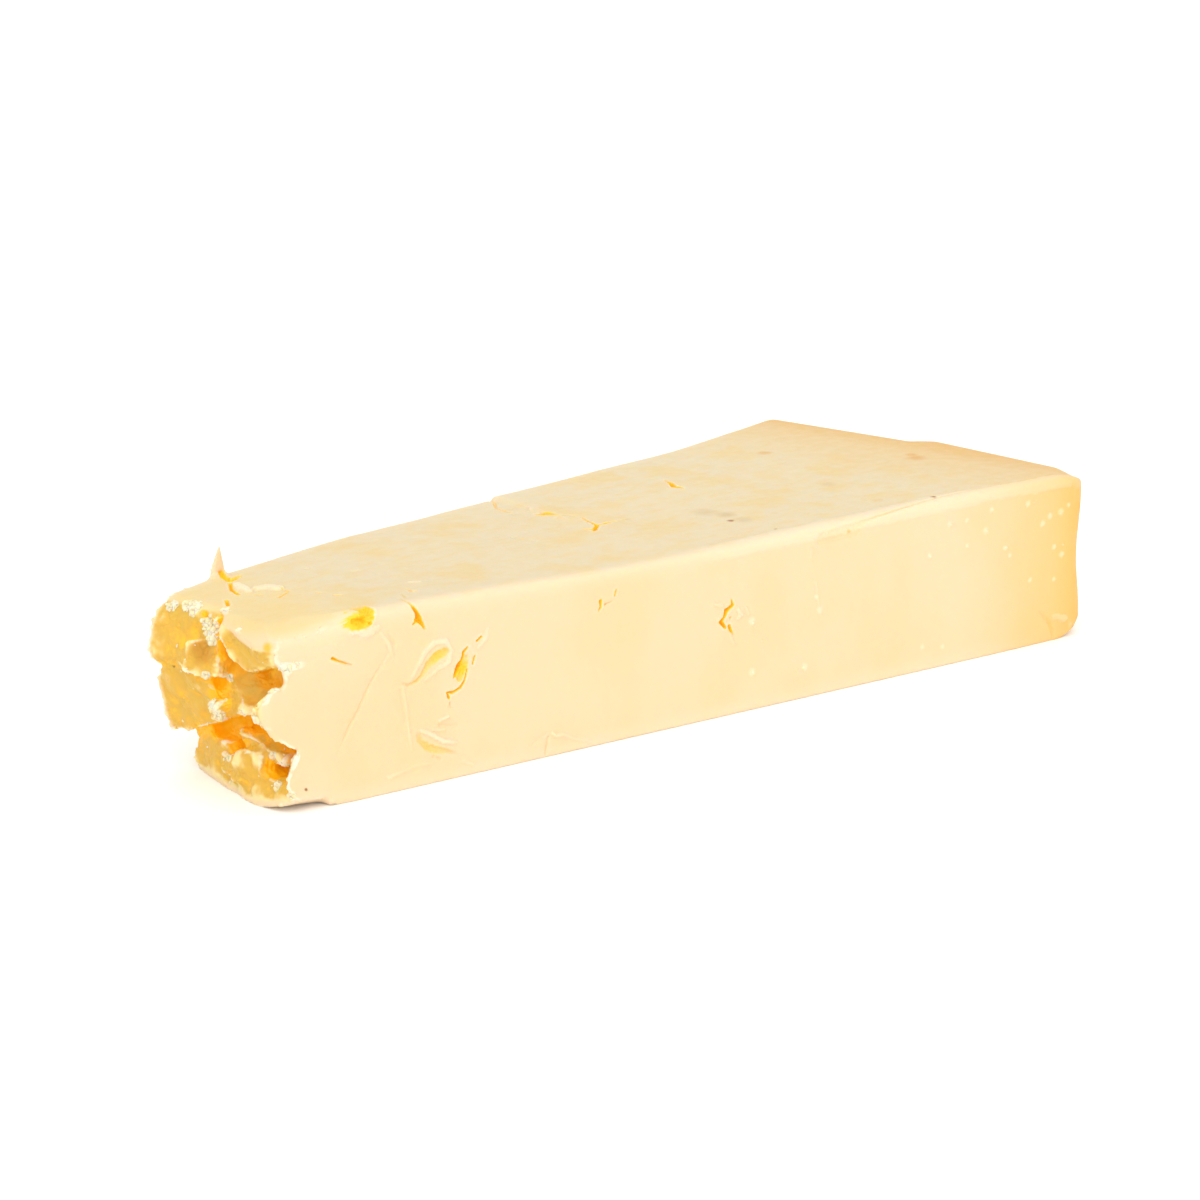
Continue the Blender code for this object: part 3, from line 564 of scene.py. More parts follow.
# The curds and granules of the break stand out, and grit covers it where it crumbles
crumbling = ease(-0.25, 0.35, grain(points[rough], 3.5 * MM, 5.7))
some = broken[rough]
for height, size in ((0.75 * MM, 6.5 * MM), (0.2 * MM, 2.6 * MM)):
    relief[rough] += height * some * granules(points[rough], size)
relief[rough] += (0.06 + 0.16 * crumbling) * MM * some * granules(points[rough], 1.1 * MM)
relief[rough] += (0.03 + 0.12 * crumbling) * MM * some * grain(points[rough], 0.5 * MM)
relief[rough] += 0.5 * MM * rim[rough] * (0.3 + 0.7 * crumbling) * (grain(points[rough], 0.9 * MM, 7.3) - 0.15)
ragged = np.nonzero(torn > 0.02)[0]
relief[ragged] += 0.55 * MM * torn[ragged] * grain(points[ragged], 3.2 * MM, 9.1)

# The cut faces are a little uneven, but not where they lie on something
relief += 0.35 * MM * grain(points, 26 * MM) * ease(0, 6 * MM, z)
relief += 0.05 * MM * grain(points, 5 * MM, 3.1) * ease(0, 3 * MM, z)

# The marks: a groove has a torn edge and a low lip, and both are drawn ragged
fresh = np.zeros(len(points))
pale = np.zeros(len(points))
sunk = np.zeros(len(points))
raised = np.zeros(len(points))
for inside, near, beyond, depth in near_marks(points):
    close = (near < 1.8) | (beyond < 1 * MM)
    inside, near, beyond, depth = inside[close], near[close], beyond[close], depth[close]
    ragged = grain(points[inside], 0.8 * MM, 2.2)
    near = near + 0.3 * ragged + 0.2 * grain(points[inside], 0.35 * MM, 4.4)
    groove = np.maximum(depth, 0)
    ridge = np.maximum(-depth, 0)
    sunk[inside] = np.maximum(sunk[inside], groove * (1 - ease(0.1, 1.05, near)))
    lip = ease(0.3 * MM, 1.2 * MM, groove) * np.exp(-(((beyond - 0.25 * MM) / (0.25 * MM)) ** 2))
    lip *= np.clip(0.6 + 0.8 * ragged, 0, 1)
    raised[inside] = np.maximum(raised[inside], ridge * (1 - ease(0.45, 1.1, near)) + 0.16 * MM * lip)
    fresh[inside] = np.maximum(fresh[inside], (1 - ease(0.55, 1.25, near)) * ease(0.1 * MM, 1.3 * MM, groove))
    pale[inside] = np.maximum(pale[inside], (1 - ease(0.6, 1.2, near)) * ease(0, 0.7 * MM, ridge))
    pale[inside] = np.maximum(pale[inside], 0.6 * lip)
on_edge = by_lip(points)
lip = edge_lip(points[on_edge])
raised[on_edge] = np.maximum(raised[on_edge], 0.16 * MM * lip)
pale[on_edge] = np.maximum(pale[on_edge], 0.3 * lip)
relief += raised - sunk
upward = ease(0.5, 0.85, normals[:, 2])
sides = np.sort(np.stack([z, HEIGHT - z, half_width(x) - y, half_width(x) + y, LENGTH / 2 - x]), axis=0)
edge = 1 - ease(0.5 * MM, 4 * MM, np.maximum(sides[1], 0))
for name, values in (("fresh", fresh), ("pale", pale), ("upward", upward), ("edge", edge)):
    write_attribute(mesh, name, values)


def worn_corner(radius, depth_a, depth_b):
    """How far a point near a square corner moves in from each of its two faces to round it off."""
    inset_a = radius - depth_a
    inset_b = radius - depth_b
    reach = np.hypot(inset_a, inset_b)
    worn = (np.minimum(inset_a, inset_b) > 0) & (reach > radius)
    pull = np.where(worn, 1 - radius / np.maximum(reach, 1e-9), 0)
    return inset_a * pull, inset_b * pull


# The shape that the block has settled into, as the CAD solid has it, but with a little more wear at the rind end
NOSE_RADIUS = 8 * MM
NOSE_SINK = 1.0 * MM
FOOT_LIFT = 1.8 * MM
BACK_CORNER_RADIUS = 11 * MM
FRONT_CORNER_RADIUS = 6 * MM
SOLE_CORNER_RADIUS = 6.5 * MM
TOP_CORNER_RADIUS = 5 * MM
CORNER_REACH = 9 * MM
SOLE_CORNER_WEAR = 3.2 * MM
TOP_CORNER_WEAR = 2.0 * MM
RIND_REACH = 28 * MM
RIND_STAND = 3.7 * MM
RIND_STEP = 4.4 * MM
RIND_SLOPE = 0.16
RIND_WAVE = 0.6 * MM
RIND_WAVE_LENGTH = 28 * MM
TOP_SAG = 1.4 * MM
TOP_SAG_REACH = 80 * MM
CRACK_STEP = 0.7 * MM
CRACK_PLACE = -8.5 * MM
BACK_WAVE = 1.6 * MM
BACK_WAVE_LENGTH = 190 * MM
SOLE_ARCH = 0.04 * MM


def settle(points):
    """The same slump, worn corners and waves as the CAD solid has."""
    x, y, z = points.T.copy()
    radius = NOSE_RADIUS * (1 - ease(TIP + 4 * MM, TIP + 24 * MM, x))
    inward, down = worn_corner(np.maximum(radius, 1e-6), half_width(x) + y, HEIGHT - z)
    near = 1 - ease(TIP - 2 * MM, TIP + 16 * MM, x)
    y += inward
    lift = FOOT_LIFT * (1 - ease(-18 * MM, -8 * MM, y)) * (1 - ease(0, 10 * MM, z))
    z += near * (lift - NOSE_SINK * (z / HEIGHT) ** 2) - down
    end_depth = LENGTH / 2 - x
    back_in, back_end = worn_corner(BACK_CORNER_RADIUS, half_width(x) - y, end_depth)
    front_in, front_end = worn_corner(FRONT_CORNER_RADIUS, half_width(x) + y, end_depth)
    sole_up, sole_end = worn_corner(SOLE_CORNER_RADIUS, z, end_depth)
    top_down, top_end = worn_corner(TOP_CORNER_RADIUS, HEIGHT - z, end_depth)
    y += front_in - back_in
    z += sole_up - top_down
    x -= np.maximum(front_end + back_end, np.maximum(sole_end, top_end))
    by_corner = 1 - ease(0, CORNER_REACH, np.hypot(end_depth, half_width(x) + y))
    up_wear = SOLE_CORNER_WEAR * np.clip(1 - z / (10 * MM), 0, 1) ** 2
    down_wear = TOP_CORNER_WEAR * np.clip(z / HEIGHT, 0, 1) ** 5
    z += by_corner * (up_wear - down_wear)
    stand = RIND_STAND - ease(-1 * MM, 4 * MM, y) * (RIND_STEP + RIND_SLOPE * (y - 4 * MM))
    wave = 0.25 * MM + RIND_WAVE * np.cos(2 * np.pi * (z - 5 * MM) / RIND_WAVE_LENGTH)
    x += ease(LENGTH / 2 - RIND_REACH, LENGTH / 2, x) * (stand + wave)
    share = np.minimum(1, z / HEIGHT) ** 2
    frontward = np.clip(0.5 - y / (2 * half_width(x)), 0, 1)
    z -= share * frontward * TOP_SAG * (1 - ease(0, TOP_SAG_REACH, np.abs(x + 5 * MM)))
    past = x - CRACK_PLACE
    step = CRACK_STEP * ease(0, 1.2 * MM, past) * (1 - ease(0, 60 * MM, past))
    z += share * step * ease(2 * MM, 10 * MM, y)
    backward = np.maximum(0, y / half_width(x))
    y += BACK_WAVE * np.cos(2 * np.pi * (x + 58 * MM) / BACK_WAVE_LENGTH) * backward
    on_corners = np.minimum(1, np.abs(x) / (LENGTH / 2)) * np.minimum(1, np.abs(y) / half_width(x))
    return np.stack([x, y, np.maximum(z, SOLE_ARCH * (1 - on_corners**2))], 1)


settled = settle(points + normals * relief[:, None]) + np.array(PLACE)
mesh.vertices.foreach_set("co", settled.ravel())
mesh.update()
fewer = cheese.modifiers.new("fewer_triangles", "DECIMATE")
fewer.ratio = MOST_TRIANGLES / sum(len(face.vertices) - 2 for face in mesh.polygons)
bake_modifiers(cheese)
mesh = cheese.data


def hollowness(obj, wanted, reach, rays):
    """How much of the sky over each wanted point is closed in by cheese within a reach."""
    draw = random.Random(5)
    spray = []
    for _ in range(rays):
        up = math.sqrt(draw.random())
        turn = draw.uniform(0, 2 * math.pi)
        flat = math.sqrt(1 - up * up)
        spray.append(Vector((flat * math.cos(turn), flat * math.sin(turn), up)))
    mesh = obj.data
    tree = BVHTree.FromObject(obj, bpy.context.evaluated_depsgraph_get())
    closed = np.zeros(len(mesh.vertices))
    for index in wanted:
        vert = mesh.vertices[index]
        normal = vert.normal
        turn = normal.to_track_quat("Z", "Y")
        start = vert.co + normal * 0.15 * MM
        hits = 0.0
        for ray in spray:
            distance = tree.ray_cast(start, turn @ ray, reach)[3]
            if distance is not None:
                hits += 1 - distance / reach
        closed[index] = hits / rays
    return closed


# Hollows and cracks, where light goes in and comes out golden: how closed in each point is sets the painted glow and
# shade in the break's colour, and the margins where the curds stand out are painted paler, as painted light and for
# their drier, crumbly curd
HOLLOW_REACH = 9 * MM
HOLLOW_RAYS = 18
MARGIN_ROUNDS = 160
points, normals, edges = read_mesh(mesh)
near_tip = points[:, 0] < TIP + 14 * MM
wanted = np.nonzero(near_tip | (read_attribute(mesh, "fresh") > 0.05))[0]
write_attribute(mesh, "hollow", smoothed(hollowness(cheese, wanted, HOLLOW_REACH, HOLLOW_RAYS), edges, 2))
standing_out = np.zeros(len(points))
standing_out[near_tip] = convexity(points, normals, edges, MARGIN_ROUNDS)[near_tip]
write_attribute(mesh, "margin", smoothed(ease(0.15 * MM, 0.8 * MM, standing_out), edges, 12))

# Clumps of whitish crumbs, each by its middle and reach in mm, and the radius of crumbs alone and in clumps
CRUMB_SMALL = 0.22 * MM
CRUMB_LARGE = 0.5 * MM
CRUMB_CLUMPS = (
    (-101.9, 16.2, 35.4, 1.6), (-101.0, 12.3, 36.2, 1.4), (-101.0, 9.6, 35.7, 1.6), (-99.2, 10.4, 37.0, 1.1),
    (-101.6, 5.5, 34.5, 1.9), (-101.4, 4.2, 33.2, 2.1), (-102.7, 1.9, 31.5, 1.3), (-98.8, 2.6, 36.4, 1.2),
    (-102.2, -6.9, 35.6, 1.0), (-103.4, 2.6, 18.2, 1.8), (-102.5, 0.8, 16.4, 1.5), (-100.6, -19.2, 30.0, 1.7),
    (-103.1, -18.1, 25.9, 1.3), (-106.0, -16.2, 19.7, 1.4), (-104.0, -17.6, 22.4, 0.9), (-101.0, 0.6, 7.2, 1.0),
    (-100.0, 2.7, 6.9, 0.9), (-104.1, 2.2, 24.4, 1.3), (-99.8, 1.2, 23.7, 1.4), (-98.6, -10.7, 9.8, 1.1),
    (-100.1, -14.3, 4.8, 1.2), (-100.1, -18.5, 4.0, 1.1),
)
rim = read_attribute(mesh, "rim")
crumbly = np.zeros(len(points))
spots = np.nonzero(read_attribute(mesh, "torn") > 0.02)[0]
patches = ease(0.05, 0.45, grain(points[spots], 3.5 * MM, 1.9))
crumbly[spots] = 0.8 * rim[spots] * patches + 0.006 * read_attribute(mesh, "broken")[spots]
wobble = 0.5 * MM * grain(points[spots], 1.2 * MM, 6.6)
crumb_size = np.full(len(points), CRUMB_SMALL)
for *middle, reach in CRUMB_CLUMPS:
    far = np.linalg.norm(points[spots] - np.array(middle) * MM, axis=1) + wobble
    clump = 1 - ease(0.6 * reach * MM, reach * MM, far)
    crumbly[spots] = np.maximum(crumbly[spots], clump)
    crumb_size[spots] = np.maximum(crumb_size[spots], CRUMB_SMALL + (CRUMB_LARGE - CRUMB_SMALL) * clump)
crumbly *= points[:, 2] > 0.4 * MM
write_attribute(mesh, "crumbly", crumbly)
write_attribute(mesh, "crumb_size", crumb_size)


def linear(code):
    """An sRGB hex colour as Blender's linear colour."""
    channels = [int(code[place : place + 2], 16) / 255 for place in (0, 2, 4)]
    return [c / 12.92 if c <= 0.04045 else ((c + 0.055) / 1.055) ** 2.4 for c in channels] + [1]


def add_node(tree, kind, inputs=(), **settings):
    """Adds one node, with its settings, and values or links for its inputs by name or number."""
    node = tree.nodes.new(kind)
    for name, value in settings.items():
        setattr(node, name, value)
    for key, value in dict(inputs).items():
        if isinstance(value, bpy.types.NodeSocket):
            tree.links.new(value, node.inputs[key])
        else:
            node.inputs[key].default_value = value
    return node


# Mature cheddar: pressed curd, waxy and faintly translucent. Cut faces dry to a paler, satin skin; a fresh break
# is granular and deeper yellow, with whitish crumbs along its edges; the orange of its hollows is painted glow and
# shade over that yellow.
cheddar = bpy.data.materials.new("mature_cheddar")
cheddar.use_nodes = True
tree = cheddar.node_tree
shader = tree.nodes["Principled BSDF"]
place = add_node(tree, "ShaderNodeTexCoord").outputs["Object"]
axes = add_node(tree, "ShaderNodeSeparateXYZ", {0: place}).outputs
lengthwise = add_node(tree, "ShaderNodeMapping", {"Vector": place, "Scale": (0.35, 1, 1)}).outputs[0]
upright = add_node(tree, "ShaderNodeMapping", {"Vector": place, "Scale": (1, 1, 0.6)}).outputs[0]

# What each place is like: the traits that the mesh carries, and where it lies along the slanting rind end
traits = {
    name: add_node(tree, "ShaderNodeAttribute", attribute_name=name).outputs["Fac"]
    for name in ("broken", "rim", "edge", "hollow", "margin", "crumbly", "fresh", "pale", "upward")
}
traits["along"] = axes["X"]
traits["slant"] = add_node(
    tree, "ShaderNodeMath", {0: axes["Y"], 1: 0.15, 2: axes["X"]}, operation="MULTIPLY_ADD"
).outputs[0]

# Unevenness of the curd, as noise with features of a real size, detail and roughness
for name, where, size, detail, roughness in (
    ("front_blotches", upright, 18 * MM, 3, 0.5),
    ("top_streaks", lengthwise, 2.2 * MM, 3, 0.6),
    ("top_blotches", place, 11 * MM, 3, 0.5),
    ("curd_patches", place, 5 * MM, 2, 0.5),
    ("rim_patches", place, 2.5 * MM, 2, 0.5),
    ("smears", place, 3 * MM, 3, 0.5),
    ("fine_bumps", place, 1.2 * MM, 3, 0.5),
):
    inputs = {"Vector": where, "Scale": 1 / size, "Detail": detail, "Roughness": roughness}
    traits[name] = add_node(tree, "ShaderNodeTexNoise", inputs).outputs["Fac"]

# How closed in the curd lies, for the painted shade and glow in the break's colour: patchy, more in hollows and less
# at the margins of the lumps
traits["closed_in"] = traits["hollow"]
for name, weight in (("curd_patches", 0.35), ("margin", -0.25)):
    inputs = {0: traits[name], 1: weight, 2: traits["closed_in"]}
    traits["closed_in"] = add_node(tree, "ShaderNodeMath", inputs, operation="MULTIPLY_ADD").outputs[0]

# Soft steps: the trait that each reads, the range over which it changes, and its value at either end
for name, trait, low, high, at_low, at_high in (
    ("deeper_front", "front_blotches", 0.4, 0.68, 0.0, 0.35),
    ("streaked_top", "top_streaks", 0.45, 0.7, 0.0, 0.6),
    ("blotched_top", "top_blotches", 0.5, 0.68, 0.0, 0.7),
    ("by_break", "along", -98 * MM, -70 * MM, 0.7, 0.0),
    ("near_rind", "slant", 58 * MM, 94 * MM, 0.0, 0.9),
    ("at_rind", "slant", 86 * MM, 101 * MM, 0.0, 1.0),
    # Steps of how closed in the curd lies, for the painted shade and glow in hollows and deep cracks
    ("inside", "closed_in", 0.0, 0.2, 0.0, 1.0),
    ("deep_inside", "closed_in", 0.22, 0.42, 0.0, 1.0),
    ("deepest", "closed_in", 0.42, 0.68, 0.0, 1.0),
    ("cracked", "fresh", 0.0, 0.6, 0.0, 1.0),
    ("deep_hole", "hollow", 0.4, 0.8, 0.0, 1.0),
    ("white_rim", "rim", 0.25, 0.9, 0.0, 0.75),
    ("patchy", "rim_patches", 0.4, 0.62, 0.0, 1.0),
    ("under_crumbs", "crumbly", 0.1, 0.6, 0.0, 0.85),
    ("translucence", "broken", 0.0, 1.0, 0.25, 0.6),
    ("gloss", "hollow", 0.1, 0.45, 0.35, 0.06),
    ("roughness", "smears", 0.3, 0.7, 0.42, 0.6),
):
    inputs = {0: traits[trait], 1: low, 2: high, 3: at_low, 4: at_high}
    traits[name] = add_node(tree, "ShaderNodeMapRange", inputs, interpolation_type="SMOOTHSTEP").outputs[0]
for name, trait, factor in (
    # Along the edges the skin is painted paler: drier skin and a painted highlight on the rounded edges
    ("dry_edge_and_highlight", "edge", 0.5),
    ("pale_lip", "pale", 0.7),
    ("deep_crack", "deep_hole", traits["fresh"]),
    ("ragged_rim", "white_rim", traits["patchy"]),
):
    traits[name] = add_node(tree, "ShaderNodeMath", {0: traits[trait], 1: factor}, operation="MULTIPLY").outputs[0]

# Curd colours, from the dry cut skin to the moist inside, with painted glow and shade for the hollows and cracks
colours = {
    "front_skin": linear("E5C79F"),
    "deeper_front_skin": linear("E3C088"),
    # The top colours are darker than the front ones as painted shade, the top lying less lit, and greyer for the
    # top's drier skin
    "top_skin": linear("D5C4A0"),
    "top_streak": linear("D8BD83"),
    "top_by_break": linear("DDC384"),
    "dry_edge_and_highlight": linear("E6D0B0"),
    "pale_lip": linear("E8D8BC"),
    # The crack, golden and hollow colours are the curd's own yellow with painted glow of light scattered in cracks
    # and hollows
    "open_crack": linear("FFC22C"),
    "pale_lump": linear("E6D294"),
    "yellow_lump": linear("D4A943"),
    "golden_curd_and_glow": linear("FABF32"),
    "hollow_glow_and_curd": linear("FFBC14"),
    "white_crumb": linear("E8E0C8"),
    "front_rind": linear("E4B973"),
    "front_rind_edge": linear("E2AE52"),
    "top_rind": linear("D7B983"),
    "top_rind_edge": linear("D5AB68"),
}
# Coats of colour, in order: what each makes, what lies below, what is laid over it, and the trait that shows it
for name, below, above, trait in (
    ("front", "front_skin", "deeper_front_skin", "deeper_front"),
    ("top", "top_skin", "top_streak", "streaked_top"),
    ("top", "top", "top_streak", "blotched_top"),
    ("top", "top", "top_by_break", "by_break"),
    # Facing up, the skin takes the top's darker colour: painted shade, with the greyer tone of the top's drier skin
    ("skin", "front", "top", "upward"),
    # The paler edges: drier skin and a painted highlight
    ("skin", "skin", "dry_edge_and_highlight", "dry_edge_and_highlight"),
    # The rind too is painted darker where it faces up, as painted shade
    ("rind", "front_rind", "top_rind", "upward"),
    ("rind_edge", "front_rind_edge", "top_rind_edge", "upward"),
    ("skin", "skin", "rind", "near_rind"),
    ("skin", "skin", "rind_edge", "at_rind"),
    # The break goes from pale on its standing-out margins to yellow, gold and orange as it lies more closed in:
    # painted light, painted shade and painted glow over the curd's own yellow
    ("lump", "pale_lump", "yellow_lump", "inside"),
    ("lump", "lump", "golden_curd_and_glow", "deep_inside"),
    ("lump", "lump", "hollow_glow_and_curd", "deepest"),
    ("cheese", "skin", "lump", "broken"),
    ("cheese", "cheese", "pale_lip", "pale_lip"),
    # Cracks show fresh curd, more golden as the groove deepens, partly as painted glow; deep cracks take painted glow
    # as they lie closed in
    ("cheese", "cheese", "open_crack", "cracked"),
    ("cheese", "cheese", "golden_curd_and_glow", "deep_crack"),
    ("cheese", "cheese", "white_crumb", "ragged_rim"),
    ("cheese", "cheese", "white_crumb", "under_crumbs"),
):
    inputs = {0: traits[trait], 6: colours[below], 7: colours[above]}
    colours[name] = add_node(tree, "ShaderNodeMix", inputs, data_type="RGBA").outputs[2]

# Specks and stains, and one painted shadow: place and reach in mm, colour and strength
STAINS_AND_SHADOW = (
    ((18.8, -18.1, 37.2), 1.2, "9A5C24", 0.9), ((61.8, -37.0, 38.0), 0.9, "8C5418", 0.9),
    ((20.8, -29.6, 37.1), 0.6, "B07A40", 0.7), ((-104.5, 13.0, 24.1), 0.55, "6A3A10", 0.95),
    ((-97.2, -19.6, 4.7), 0.55, "7A4610", 0.95), ((19.5, -9.5, 37.4), 4.0, "B8A070", 0.35),
    ((21.3, -14.0, 37.3), 3.0, "B89A68", 0.45), ((21.2, -19.5, 37.2), 3.0, "B8A070", 0.35),
    ((55.4, -11.2, 37.7), 2.8, "C0A87C", 0.35), ((36.1, -36.4, 34.9), 0.9, "D99A30", 0.55),
    ((65.9, 19.2, 37.9), 2.4, "D09838", 0.55), ((86.4, -9.2, 38.1), 3.2, "CF9438", 0.6),
    ((88.0, -6.0, 38.1), 2.0, "CF9438", 0.5), ((52.4, -29.0, 37.7), 2.0, "D9A448", 0.35),
    # The first spot on the next line, orange-brown on a lump at the broken end, is painted shadow under the recess
    # below the rim
    ((-104.0, 3.3, 29.3), 4.0, "B87F1E", 0.8), ((-102.5, -16.2, 33.7), 1.7, "F2B224", 0.9),
)
# White specks of calcium crystals on the front face: place and reach in mm
CRYSTALS = (
    ((93.7, -42.9, 29.2), 1.1), ((95.1, -43.1, 21.9), 0.9), ((80.3, -41.6, 24.1), 0.9), ((87.0, -42.2, 33.1), 1.1),
    ((74.5, -41.1, 29.0), 1.2), ((58.6, -39.1, 25.9), 0.8), ((64.1, -39.8, 32.2), 0.9), ((69.3, -40.5, 26.4), 0.8),
    ((76.1, -41.3, 33.5), 0.9), ((91.5, -42.7, 27.8), 1.1), ((97.0, -43.3, 29.6), 1.2), ((99.3, -43.6, 30.9), 0.9),
    ((97.5, -43.4, 19.8), 1.1), ((95.3, -43.1, 14.4), 0.9), ((88.1, -42.3, 15.4), 0.9), ((81.9, -41.7, 22.2), 0.8),
    ((69.0, -40.4, 32.3), 0.8), ((57.1, -38.6, 5.5), 0.9), ((62.7, -39.4, 4.5), 0.9), ((10.6, -32.9, 19.6), 1.2),
    ((10.6, -32.9, 8.4), 1.3), ((24.5, -34.8, 7.0), 1.2), ((27.5, -35.1, 22.0), 0.8), ((28.5, -35.3, 19.0), 1.2),
)
CRYSTAL_WHITE = "EFE4C4"
CRYSTAL_STRENGTH = 0.4
# Noise shifts each place by this much at most, and by half of it on average, so no spot is round
SPOT_SHIFT = 0.8 * MM
inputs = {"Vector": place, "Scale": 1 / (1.1 * MM), "Detail": 2.0}
shift = add_node(tree, "ShaderNodeTexNoise", inputs).outputs["Color"]
shift = add_node(tree, "ShaderNodeVectorMath", {0: shift, "Scale": SPOT_SHIFT}, operation="SCALE").outputs[0]
shifted = add_node(tree, "ShaderNodeVectorMath", {0: place, 1: shift}, operation="ADD").outputs[0]
colour = colours["cheese"]
for middle, reach, spot, strength in STAINS_AND_SHADOW + tuple((*where, CRYSTAL_WHITE, CRYSTAL_STRENGTH) for where in CRYSTALS):
    inputs = {0: shifted, 1: [value * MM + SPOT_SHIFT / 2 for value in middle]}
    far = add_node(tree, "ShaderNodeVectorMath", inputs, operation="DISTANCE").outputs["Value"]
    inputs = {0: far, 1: 0.2 * reach * MM, 2: reach * MM, 3: strength, 4: 0.0}
    share = add_node(tree, "ShaderNodeMapRange", inputs, interpolation_type="SMOOTHSTEP").outputs[0]
    colour = add_node(tree, "ShaderNodeMix", {0: share, 6: colour, 7: linear(spot)}, data_type="RGBA").outputs[2]

# Wax in the curd lets light in, most where it is broken open, and the hollows shine least
tree.links.new(colour, shader.inputs["Base Color"])
tree.links.new(traits["translucence"], shader.inputs["Subsurface Weight"])
shader.inputs["Subsurface Radius"].default_value = (1.0, 0.45, 0.12)
shader.inputs["Subsurface Scale"].default_value = 3 * MM
shader.inputs["IOR"].default_value = 1.45
tree.links.new(traits["gloss"], shader.inputs["Specular IOR Level"])
tree.links.new(traits["roughness"], shader.inputs["Roughness"])
bumpy = None
for name, depth in (("fine_bumps", 0.12 * MM), ("top_streaks", 0.1 * MM)):
    inputs = {"Height": traits[name], "Distance": depth, "Strength": 0.5}
    if bumpy is not None:
        inputs["Normal"] = bumpy
    bumpy = add_node(tree, "ShaderNodeBump", inputs).outputs[0]
tree.links.new(bumpy, shader.inputs["Normal"])
cheese.data.materials.clear()
cheese.data.materials.append(cheddar)
for face in cheese.data.polygons:
    face.use_smooth = True
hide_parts("cheddar_wedge")
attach(cheese, "root")

# Crumbs of dry curd that cling to the torn edges of the break. Each is a small whitish grain, rough all round,
# that came loose where the curds parted and stuck to the moist surface.
CRUMB_SPACING = 0.45 * MM
CRUMBS_PER_M2 = 6e6
CRUMB_SMALLEST = 0.6
CRUMB_LARGEST = 1.4
CRUMB_LUMPINESS = 0.35 * MM
CRUMB_KNOB = 0.7 * MM

# Dry curd: loose grains lose their moisture first, which turns them whitish and dull.
crumb_curd = bpy.data.materials.new("dry_curd_crumb")
crumb_curd.use_nodes = True
tree = crumb_curd.node_tree
crumb_shader = tree.nodes["Principled BSDF"]
place = add_node(tree, "ShaderNodeTexCoord").outputs["Object"]
inputs = {"Vector": place, "Scale": 1 / (2 * MM), "Detail": 2.0, "Roughness": 0.5}
uneven = add_node(tree, "ShaderNodeTexNoise", inputs).outputs["Fac"]
yellower = add_node(tree, "ShaderNodeMapRange", {0: uneven, 1: 0.4, 2: 0.65}, interpolation_type="SMOOTHSTEP")
inputs = {0: yellower.outputs[0], 6: linear("E4DABE"), 7: linear("E2CE9E")}
crumb_colour = add_node(tree, "ShaderNodeMix", inputs, data_type="RGBA").outputs[2]
tree.links.new(crumb_colour, crumb_shader.inputs["Base Color"])
crumb_shader.inputs["Roughness"].default_value = 0.6
crumb_shader.inputs["IOR"].default_value = 1.45
crumb_shader.inputs["Subsurface Weight"].default_value = 0.4
crumb_shader.inputs["Subsurface Radius"].default_value = (1.0, 0.5, 0.2)
crumb_shader.inputs["Subsurface Scale"].default_value = 1 * MM

scatter = bpy.data.node_groups.new("crumb_scatter", "GeometryNodeTree")
sockets = {}
for name, kind, in_out in (
    ("Cheese", "NodeSocketGeometry", "INPUT"),
    ("Spacing", "NodeSocketFloat", "INPUT"),
    ("Smallest grain", "NodeSocketFloat", "INPUT"),
    ("Largest grain", "NodeSocketFloat", "INPUT"),
    ("Lumpiness", "NodeSocketFloat", "INPUT"),
    ("Crumbs", "NodeSocketGeometry", "OUTPUT"),
):
    sockets[name] = scatter.interface.new_socket(name, in_out=in_out, socket_type=kind).identifier
sizes = add_node(scatter, "NodeGroupInput").outputs
torn = add_node(scatter, "GeometryNodeInputNamedAttribute", {"Name": "crumbly"}, data_type="FLOAT").outputs[0]
inputs = {"Mesh": sizes["Cheese"], "Distance Min": sizes["Spacing"], "Density Max": CRUMBS_PER_M2}
inputs |= {"Density Factor": torn, "Seed": 3}
points_on = add_node(scatter, "GeometryNodeDistributePointsOnFaces", inputs, distribute_method="POISSON")
grain_shape = add_node(scatter, "GeometryNodeMeshIcoSphere", {"Radius": 1.0, "Subdivisions": 2})
girth = add_node(
    scatter, "FunctionNodeRandomValue", {2: sizes["Smallest grain"], 3: sizes["Largest grain"], "Seed": 8}
).outputs[1]
own_size = add_node(scatter, "GeometryNodeInputNamedAttribute", {"Name": "crumb_size"}, data_type="FLOAT").outputs[0]
girth = add_node(scatter, "ShaderNodeMath", {0: girth, 1: own_size}, operation="MULTIPLY").outputs[0]
stretch = add_node(
    scatter,
    "FunctionNodeRandomValue",
    {0: (0.7, 0.7, 0.45), 1: (1.3, 1.3, 0.9), "Seed": 9},
    data_type="FLOAT_VECTOR",
).outputs[0]
spin = add_node(
    scatter, "FunctionNodeRandomValue", {0: (0, 0, 0), 1: (6.283, 6.283, 6.283), "Seed": 10}, data_type="FLOAT_VECTOR"
).outputs[0]
scale = add_node(scatter, "ShaderNodeVectorMath", {0: stretch, "Scale": girth}, operation="SCALE").outputs[0]
grains = add_node(
    scatter,
    "GeometryNodeInstanceOnPoints",
    {"Points": points_on.outputs["Points"], "Instance": grain_shape.outputs[0], "Rotation": spin, "Scale": scale},
)
whole = add_node(scatter, "GeometryNodeRealizeInstances", {"Geometry": grains.outputs[0]})
where = add_node(scatter, "GeometryNodeInputPosition").outputs[0]
inputs = {"Vector": where, "Scale": 1 / CRUMB_KNOB, "Detail": 1.0}
knobs = add_node(scatter, "ShaderNodeTexNoise", inputs).outputs["Color"]
about = add_node(scatter, "ShaderNodeVectorMath", {0: knobs, 1: (0.5, 0.5, 0.5)}, operation="SUBTRACT").outputs[0]
